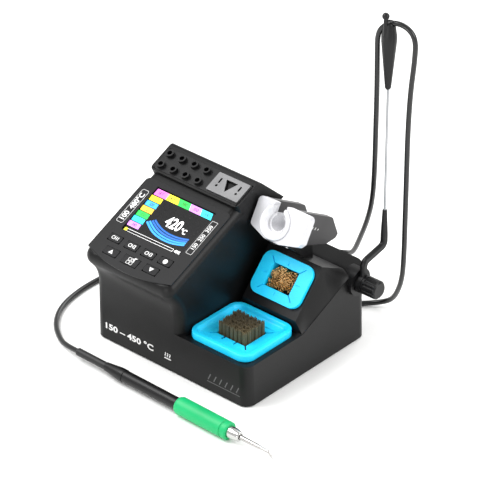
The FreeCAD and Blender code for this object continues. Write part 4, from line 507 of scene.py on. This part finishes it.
marks = [clipped_frame("left_frame", 6.2, 12.4, 19.2, 51.6, 1.0, 0.35, FILM_LIFT),
         clipped_frame("right_frame", 74.6, 79.8, 19.7, 51.6, 0.2, 0.35, FILM_LIFT)]
marks.append(printed_words("left_scale", "480°C", 9.4, 40.6, 4.3, FILM_LIFT, 90.0, 1.0, 0.16))
marks.append(printed_words("left_scale", "100", 9.4, 25.6, 4.3, FILM_LIFT, 90.0, 1.0, 0.16))
marks.append(printed_words("right_scale", "150  250  350", 77.2, 35.6, 3.2, FILM_LIFT,
                           90.0, 0.98, 0.08))
own_mesh(joined("overlay_printing", marks), "station", print_white)

# ------------------------------------------------------------------ keys
# Seven silicone-topped keys that stand half a millimetre out of the film, each with a white
# printed sign: channels, power, up, settings and down.
key_silicone = grained("moulded_silicone_key_black", {"IOR": 1.43, "Specular IOR Level": 0.3},
                       "#08080a", "#121214", 0.4, 0.02, (0.4, 0.55))
KEY_LIFT = 0.68
key_signs = {}
for number, left, up in ((1, 17.4, 5.7), (2, 33.9, 5.6), (3, 50.2, 5.6)):
    word = printed_words("sign", "CH%d" % number, left, up, 3.1, KEY_LIFT, 0, 0.86, 0.07)
    key_signs["key_ch%d" % number] = [word]
up_arrow = [(20.8, -7.0), (24.8, -7.0), (22.8, -3.6)]
down_arrow = [(59.2, -3.2), (61.2, -6.6), (63.2, -3.2)]
key_signs["key_up"] = [filled_outline("sign", up_arrow, KEY_LIFT)]
key_signs["key_down"] = [filled_outline("sign", down_arrow, KEY_LIFT)]
disc_turns = [math.radians(22.5 * step) for step in range(16)]
disc = [(66.5 + 2.0 * math.cos(turn), 5.9 + 2.0 * math.sin(turn)) for turn in disc_turns]
key_signs["key_power"] = [filled_outline("sign", disc, KEY_LIFT)]
frames = []
for left, up in ((40.4, -4.2), (43.4, -4.2), (40.4, -7.2), (43.4, -7.2)):
    frames.append(clipped_frame("sign", left - 1.2, left + 1.2, up - 1.2, up + 1.2,
                                0.2, 0.42, KEY_LIFT))
pointer = [(43.0, -4.0), (45.2, -6.0), (44.6, -3.0), (46.4, -1.8), (44.0, -1.9)]
frames.append(filled_outline("sign", pointer, KEY_LIFT + 0.05))
key_signs["key_settings"] = frames
for key, signs in key_signs.items():
    softened(key, key + "_cap", 0.35, key + "_body", key_silicone)
    own_mesh(joined(key + "_sign", signs), key + "_body", print_white)

# ------------------------------------------------------------------ front printing
# White pad-printed working range with a small heat sign on the foot of the front face, and
# grey ruled strokes on its right. The ink lies a few hundredths of a millimetre proud.
FRONT = Matrix.Translation(at(0.0, 0.0, 0.0)) @ Matrix.Rotation(math.radians(90.0), 4, "X")
PRINT_LIFT = 0.02
front_marks = [printed_words("range", "150 – 450 °C", 33.6, 12.6, 5.0, PRINT_LIFT, 0, 1.32, 0.2,
                             FRONT)]
for left in (70.2, 72.4, 74.6):
    wave = [(left, 11.6), (left - 0.9, 12.6), (left + 0.7, 13.8), (left - 0.3, 15.0)]
    front_marks.append(drawn_line("heat", wave, 0.7, PRINT_LIFT, smooth=True, turn=FRONT))
front_marks.append(drawn_line("heat", [(69.0, 10.2), (75.6, 10.2)], 0.9, PRINT_LIFT, turn=FRONT))
own_mesh(joined("front_range_printing", front_marks), "station", print_white)
print_grey = grained("pad_printed_grey", {"IOR": 1.5},
                     "#4a4a4b", "#6a6a6b", 0.6, 0.006, (0.4, 0.55))
strokes = []
for count in range(6):
    left = 112.0 + 5.4 * count
    stroke = [(left, 10.2), (left + 2.4, 15.4)]
    strokes.append(drawn_line("stroke", stroke, 0.8, PRINT_LIFT, turn=FRONT))
strokes.append(drawn_line("stroke", [(111.0, 8.6), (142.6, 8.6)], 0.5, PRINT_LIFT, turn=FRONT))
own_mesh(joined("front_stroke_printing", strokes), "station", print_grey)

# ------------------------------------------------------------------ tip tray
# A black moulding with eight bored bosses for spare cartridges, and a satin steel plate with
# a triangular hole for pulling hot tips out.
softened("tip_tray", "tip_tray_moulding", 0.35, "station", black_nylon)
satin_steel = grained("bead_blasted_stainless", {"Metallic": 1.0},
                      "#6d6d6e", "#868687", 0.35, 0.02, (0.42, 0.58))
softened("tip_plate", "tip_puller_plate", 0.25, "station", satin_steel)

# ------------------------------------------------------------------ front cleaning pot
# A cyan silicone tray with rounded corners that drops into the deck. Its floor slopes in to
# a tight opening round the brush, slit at the corners so that it grips the tufts.
cyan_silicone = grained("moulded_cyan_silicone",
                        {"IOR": 1.43, "Subsurface Weight": 0.12, "Subsurface Scale": 0.004},
                        "#06c2f4", "#26d6ff", 0.9, 0.02, (0.36, 0.5))
POT_LEFT, POT_FRONT, POT_TOP = 115.6, 32.4, 39.6
POT = at(POT_LEFT, POT_FRONT, POT_TOP)


def add_box(name, middle, size):
    """A plain box, in metres, whose place and size are in its mesh."""
    bpy.ops.mesh.primitive_cube_add(size=1.0, location=middle)
    box = bpy.context.object
    box.name = name
    box.scale = size
    bpy.ops.object.transform_apply(location=True, rotation=False, scale=True)
    return box


def faces_facing_up(piece, above):
    """Selects only the faces that look up and lie above a height."""
    bpy.ops.object.mode_set(mode="EDIT")
    bpy.ops.mesh.select_mode(type="FACE")
    bpy.ops.mesh.select_all(action="DESELECT")
    bpy.ops.object.mode_set(mode="OBJECT")
    for face in piece.data.polygons:
        face.select = face.normal.z > 0.9 and face.center.z > above
    bpy.ops.object.mode_set(mode="EDIT")


def cut_away(piece, cutter):
    """Cuts one piece's shape out of another, and removes the cutter."""
    choose(piece)
    saw = piece.modifiers.new("cut", "BOOLEAN")
    saw.operation = "DIFFERENCE"
    saw.solver = "MANIFOLD"
    saw.object = cutter
    bpy.ops.object.modifier_apply(modifier=saw.name)
    bpy.data.objects.remove(cutter, do_unlink=True)


def cut_corner_slits(piece, place, reach, size):
    """Cuts four diagonal slits, one at each corner of an opening."""
    for side_x, side_y in ((-1, -1), (1, -1), (-1, 1), (1, 1)):
        slit = add_box("slit", (0.0, 0.0, 0.0), size)
        lean = Matrix.Rotation(math.radians(45.0 * side_x * side_y), 4, "Z")
        spot = Matrix.Translation((side_x * reach[0], side_y * reach[1], 0.0))
        slit.data.transform(place @ spot @ lean)
        cut_away(piece, slit)


# the front pot's sizes, in metres: flange with its rim, lip and sloping floor, then cup
FLANGE_HEIGHT, FLANGE_CORNER = 0.006, 0.0095
RIM_WIDTH = 0.0038
LIP_WIDTH, LIP_DROP = 0.0016, 0.0026
FLOOR_WIDTH, FLOOR_DROP = 0.0052, 0.0011
CUP_SIDE, CUP_HEIGHT, CUP_WALL, CUP_DEPTH = 0.0396, 0.0198, 0.0022, 0.0172
CUT_HEIGHT = 0.02
front_tray = add_box("front_silicone_pot", (POT.x, POT.y, POT.z - FLANGE_HEIGHT / 2),
                     (0.0576, 0.0555, FLANGE_HEIGHT))
bpy.ops.object.mode_set(mode="EDIT")
bpy.ops.mesh.select_mode(type="EDGE")
bpy.ops.mesh.select_all(action="DESELECT")
bpy.ops.object.mode_set(mode="OBJECT")
for edge in front_tray.data.edges:
    a, b = (front_tray.data.vertices[index].co for index in edge.vertices)
    edge.select = abs(a.z - b.z) > 0.004
bpy.ops.object.mode_set(mode="EDIT")
bpy.ops.mesh.bevel(offset=FLANGE_CORNER, segments=8, affect="EDGES")
faces_facing_up(front_tray, POT.z - 0.001)
bpy.ops.mesh.inset(thickness=RIM_WIDTH)
bpy.ops.mesh.inset(thickness=LIP_WIDTH)
bpy.ops.transform.translate(value=(0, 0, -LIP_DROP))
bpy.ops.mesh.inset(thickness=FLOOR_WIDTH)
bpy.ops.transform.translate(value=(0, 0, -FLOOR_DROP))
bpy.ops.mesh.select_all(action="SELECT")
bpy.ops.mesh.normals_make_consistent(inside=False)
bpy.ops.object.mode_set(mode="OBJECT")
round_edges(front_tray, 0.9, segments=4, sharp=24.0)
cut_middle = (POT.x, POT.y, POT.z - FLANGE_HEIGHT)
cut_away(front_tray, add_box("opening", cut_middle, (0.0280, 0.0240, CUT_HEIGHT)))
cut_corner_slits(front_tray, Matrix.Translation(cut_middle), (0.0150, 0.0130),
                 (0.0062, 0.0011, CUT_HEIGHT))
for off_y in (-0.0135, 0.0135):
    for off_x in (-0.0055, 0.0055):
        notch_middle = (POT.x + off_x, POT.y + off_y, POT.z - FLANGE_HEIGHT)
        cut_away(front_tray, add_box("notch", notch_middle, (0.0016, 0.0046, CUT_HEIGHT)))
cup = add_box("front_pot_cup", (POT.x, POT.y, POT.z - 0.016), (CUP_SIDE, CUP_SIDE, CUP_HEIGHT))
faces_facing_up(cup, POT.z - 0.01)
bpy.ops.mesh.inset(thickness=CUP_WALL)
bpy.ops.mesh.extrude_region_move(TRANSFORM_OT_translate={"value": (0, 0, -CUP_DEPTH)})
bpy.ops.object.mode_set(mode="OBJECT")
round_edges(cup, 0.8, segments=2, sharp=40.0)
front_silicone_pot = joined("front_silicone_pot", [front_tray, cup])
level_faces(front_silicone_pot)
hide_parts("front_pot")
own_mesh(front_silicone_pot, "front_tray", cyan_silicone)

# ------------------------------------------------------------------ brush
# Stiff olive-brown bristles, set in rows of round tufts in a block in the pot.
# One tuft of thin bristles is made and copied; each copy is turned and its length differs.
bristle_fibre = grained("crimped_olive_bristle", {"IOR": 1.5, "Sheen Weight": 0.2},
                        "#2b2412", "#6b5c36", 0.5, 0.06, (0.55, 0.75))
shuffle = random.Random(7)
FULL_TURN = 6.28                           # in radians, near enough for a random turn
TUFT_STEP = 3.75
BRISTLE_LENGTH = 0.024


def make_tuft():
    """One tuft of nineteen bristles that spread slightly at the top, 24 mm tall."""
    spots = [(0.0, 0.0)]
    for ring, count in ((0.68, 6), (1.32, 12)):
        for step in range(count):
            angle = 2.0 * math.pi * step / count + ring
            spots.append((ring * math.cos(angle), ring * math.sin(angle)))
    bristles = []
    for x, y in spots:
        bpy.ops.mesh.primitive_cone_add(
            vertices=5, radius1=0.00036, radius2=0.0003, depth=BRISTLE_LENGTH,
            location=(x / MM_PER_M, y / MM_PER_M, -BRISTLE_LENGTH / 2), end_fill_type="NGON")
        bristle = bpy.context.object
        bpy.ops.object.transform_apply(location=True, rotation=False, scale=False)
        reach = shuffle.uniform(-0.0011, 0.0)
        for vertex in bristle.data.vertices:
            if vertex.co.z > -0.001:
                vertex.co.x += x * 0.00012 + shuffle.uniform(-0.00012, 0.00012)
                vertex.co.y += y * 0.00012 + shuffle.uniform(-0.00012, 0.00012)
                vertex.co.z += reach
        bristles.append(bristle)
    return joined("brush_tuft", bristles)


tuft = make_tuft()
tufts = []
for row in range(6):
    for column in range(7):
        copy = tuft.copy()
        copy.data = tuft.data.copy()
        bpy.context.collection.objects.link(copy)
        left = POT_LEFT + (column - 3) * TUFT_STEP + (0.35 if row % 2 else -0.35)
        front = POT_FRONT + (row - 2.5) * TUFT_STEP
        turn = Matrix.Rotation(shuffle.uniform(0.0, FULL_TURN), 4, "Z")
        top = at(left, front, 46.4 - shuffle.uniform(0.0, 0.9))
        copy.data.transform(Matrix.Translation(top) @ turn)
        tufts.append(copy)
bpy.data.objects.remove(tuft, do_unlink=True)
block = add_box("brush_block", at(POT_LEFT, POT_FRONT, 20.2), (0.0345, 0.0345, 0.0085))
round_edges(block, 1.0, segments=2, sharp=40.0)
brush_tufts = joined("brush_tufts", tufts + [block])
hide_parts("bristle_brush")
own_mesh(brush_tufts, "front_tray", bristle_fibre)

# ------------------------------------------------------------------ rear cleaning pot
# The same cyan silicone on the sloping pedestal, a flat lip round an opening for the wool;
# slits at the corners let a hot tip push in.
rear_silicone = softened("rear_pot", "rear_silicone_pot", 0.8, "rear_tray",
                         cyan_silicone)
REAR_SLOPE = math.radians(47.7)
REAR = Matrix.Translation(at(116.6, 74.6, 62.3)) @ Matrix.Rotation(REAR_SLOPE, 4, "X")
cut_corner_slits(rear_silicone, REAR, (0.0139, 0.0109), (0.0062, 0.0007, 0.004))
level_faces(rear_silicone)

# ------------------------------------------------------------------ brass wool
# Curled shavings of brass, packed in the rear pot: a few dozen thin coiled strands that lie
# every way over each other, bright where they catch the light. Under them lies a dark sheet of
# painted shade that stands for the shadow in the gaps deep in the wool.
brass_shaving = grained("turned_brass_shavings", {"Metallic": 1.0},
                        "#8a5a20", "#ffdca0", 1.6, 0.03, (0.16, 0.34))
# painted shade: a near-black brown that stands for the shadow deep between the brass curls
wool_gap_painted_shade = grained("painted_shade_brass_gaps", {"Metallic": 0.6},
                      "#0d0a05", "#2a1c0a", 0.8, 0.1, (0.6, 0.8))
WOOL_HALF_X, WOOL_HALF_Y = 0.0113, 0.0083
WOOL_TOP = -0.0017
CURL_POINTS = 26
curls = []
for count in range(60):
    radius = shuffle.uniform(0.0014, 0.0024)
    middle = Vector((shuffle.uniform(-0.0096, 0.0100), shuffle.uniform(-0.0066, 0.0066), 0.0))
    heading = Matrix.Rotation(shuffle.uniform(0, FULL_TURN), 3, "Z")
    heading = heading @ Matrix.Rotation(shuffle.uniform(-0.7, 0.7), 3, "Y")
    spots = []
    for step in range(CURL_POINTS):
        angle = step * 0.95
        along = (step - 12) * 0.00022 * 1.4
        coil = Vector((along, radius * math.cos(angle), radius * math.sin(angle)))
        spot = middle + heading @ coil
        height = -0.0036 + spot.z + shuffle.uniform(0, 0.0012)
        spots.append((min(WOOL_HALF_X, max(-WOOL_HALF_X, spot.x)),
                      min(WOOL_HALF_Y, max(-WOOL_HALF_Y, spot.y)), min(WOOL_TOP, height)))
    curl = add_curve("wool_curl", spots, 2)
    thicken_curve(curl, 0.00026, 1, caps=False)
    curls.append(curl)
joined("brass_wool_curls", curls)
bpy.ops.object.convert(target="MESH")
wool = bpy.context.object
wool.data.transform(REAR)
bpy.ops.object.shade_smooth()
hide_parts("brass_wool")
own_mesh(wool, "rear_tray", brass_shaving)
bpy.ops.object.select_all(action="DESELECT")
# A bumpy dark sheet under the curls: painted shade for the shadowed gaps between them.
bpy.ops.mesh.primitive_grid_add(x_subdivisions=16, y_subdivisions=12, size=1.0, location=(0, 0, 0))
wool_shade_sheet = bpy.context.object
wool_shade_sheet.name = "brass_wool_painted_shade_sheet"
SHADE_SHEET_HALF_X, SHADE_SHEET_HALF_Y = 0.0116, 0.0086
wool_shade_sheet.data.transform(Matrix.Diagonal((2 * SHADE_SHEET_HALF_X, 2 * SHADE_SHEET_HALF_Y, 1.0, 1.0)))
for vertex in wool_shade_sheet.data.vertices:
    edge_drop = max(abs(vertex.co.x) / SHADE_SHEET_HALF_X, abs(vertex.co.y) / SHADE_SHEET_HALF_Y) ** 4
    vertex.co.z = -0.0056 - 0.0012 * edge_drop + shuffle.uniform(-0.0006, 0.0006)
thicken = wool_shade_sheet.modifiers.new("depth", "SOLIDIFY")
thicken.thickness = 0.006
thicken.offset = -1.0
bpy.ops.object.modifier_apply(modifier=thicken.name)
wool_shade_sheet.data.transform(REAR)
own_mesh(wool_shade_sheet, "rear_tray", wool_gap_painted_shade)

# ------------------------------------------------------------------ iron holder
# A zinc die-cast holder on a black neck: a silver-painted front plate with a bright C-shaped
# collar and sleeve, slotted for the cord, and a grey cradle with two cheeks behind.
silver_paint = grained("silver_painted_die_casting",
                       {"IOR": 1.5, "Metallic": 0.15, "Coat Weight": 0.2},
                       "#c2c2c6", "#dadade", 0.6, 0.03, (0.3, 0.45))
ring_paint = grained("bright_enamelled_ring", {"IOR": 1.5, "Coat Weight": 0.4},
                     "#cacacd", "#e4e4e7", 0.9, 0.008, (0.2, 0.32))
grey_paint = grained("grey_painted_die_casting", {"IOR": 1.5, "Metallic": 0.1},
                     "#2c2b2c", "#3f3e40", 0.6, 0.025, (0.36, 0.5))
softened("holder_face", "holder_front_plate", 1.1, "station", silver_paint)
softened("holder_collar", "holder_ring", 0.4, "station", ring_paint)
softened("holder_sleeve", "holder_inner_sleeve", 0.3, "station", ring_paint)
softened("holder_cradle", "holder_cheeks", 0.8, "station", grey_paint)
softened("holder_stand", "holder_neck", 0.8, "station", black_nylon)
coat_nodes(zinc_plate, "holder_screws")
HOLDER_LEAN = math.radians(60.0)
HOLDER = Matrix.Translation(at(108.3, 76.7, 105.8)) @ Matrix.Rotation(HOLDER_LEAN, 4, "X")
CHEEK_OFFSET = Matrix.Translation((0.0163, 0.0, 0.0))
CHEEK = HOLDER @ CHEEK_OFFSET @ Matrix.Rotation(math.radians(90.0), 4, "Y")
cheek_marks = []
for count, tall in enumerate((3.4, 1.8, 1.8, 1.2)):
    mark = [(20.0 + 3.6 * count, 3.0), (20.8 + 3.6 * count, 3.0 + tall)]
    cheek_marks.append(drawn_line("cheek_mark", mark, 0.7, PRINT_LIFT, turn=CHEEK))
own_mesh(joined("holder_cheek_marks", cheek_marks), "station", print_white)

# ------------------------------------------------------------------ cord arm
# A glass-filled nylon elbow on a ribbed clamp knob, a thin steel rod, and a tapered hook with
# a ball end that carries the cord above the bench.
rod_steel = grained("drawn_stainless_rod", {"Metallic": 1.0, "Anisotropic": 0.4},
                    "#8d8f92", "#b4b6b9", 0.5, 0.004, (0.24, 0.36))
softened("clamp_bracket", "clamp_boss", 0.5, "station", black_nylon)
softened("clamp_knob", "clamp_knob_ribbed", 0.35, "knob", black_nylon)
coat_nodes(zinc_plate, "clamp_stud")
softened("arm_elbow", "arm_elbow_moulding", 0.3, "arm", black_nylon)
softened("arm_hook", "arm_hook_moulding", 0.25, "arm", black_nylon)
coat_nodes(rod_steel, "arm_rod")

# ------------------------------------------------------------------ soldering iron
# A slim handle: a rubber boot, a black tube, a ribbed green grip, a plated nose and the
# heater cartridge with its small bent tip.
boot_rubber = grained("moulded_boot_rubber", {"IOR": 1.5},
                      "#08080a", "#121213", 0.6, 0.03, (0.45, 0.62))
green_tpe = grained("moulded_green_elastomer",
                    {"IOR": 1.45, "Subsurface Weight": 0.08, "Subsurface Scale": 0.002},
                    "#009a58", "#0cb66e", 0.6, 0.03, (0.4, 0.55))
nickel_plate = grained("bright_nickel_plate", {"Metallic": 1.0},
                       "#b6b6b4", "#d4d4d2", 1.2, 0.003, (0.14, 0.26))
tip_steel = grained("heat_blued_tip_steel", {"Metallic": 1.0},
                    "#9c9a98", "#c6c4c2", 0.8, 0.004, (0.18, 0.32))
softened("strain_relief", "handle_boot", 0.2, "station", boot_rubber)
softened("iron_collar", "handle_boot_collar", 0.3, "station", black_nylon)
softened("iron_shaft", "handle_tube", 0.3, "station", black_nylon)
softened("iron_grip", "handle_grip", 0.35, "station", green_tpe)
softened("iron_nose", "handle_nose", 0.3, "station", nickel_plate)
softened("iron_cartridge", "heater_cartridge", 0.0, "cartridge", tip_steel)
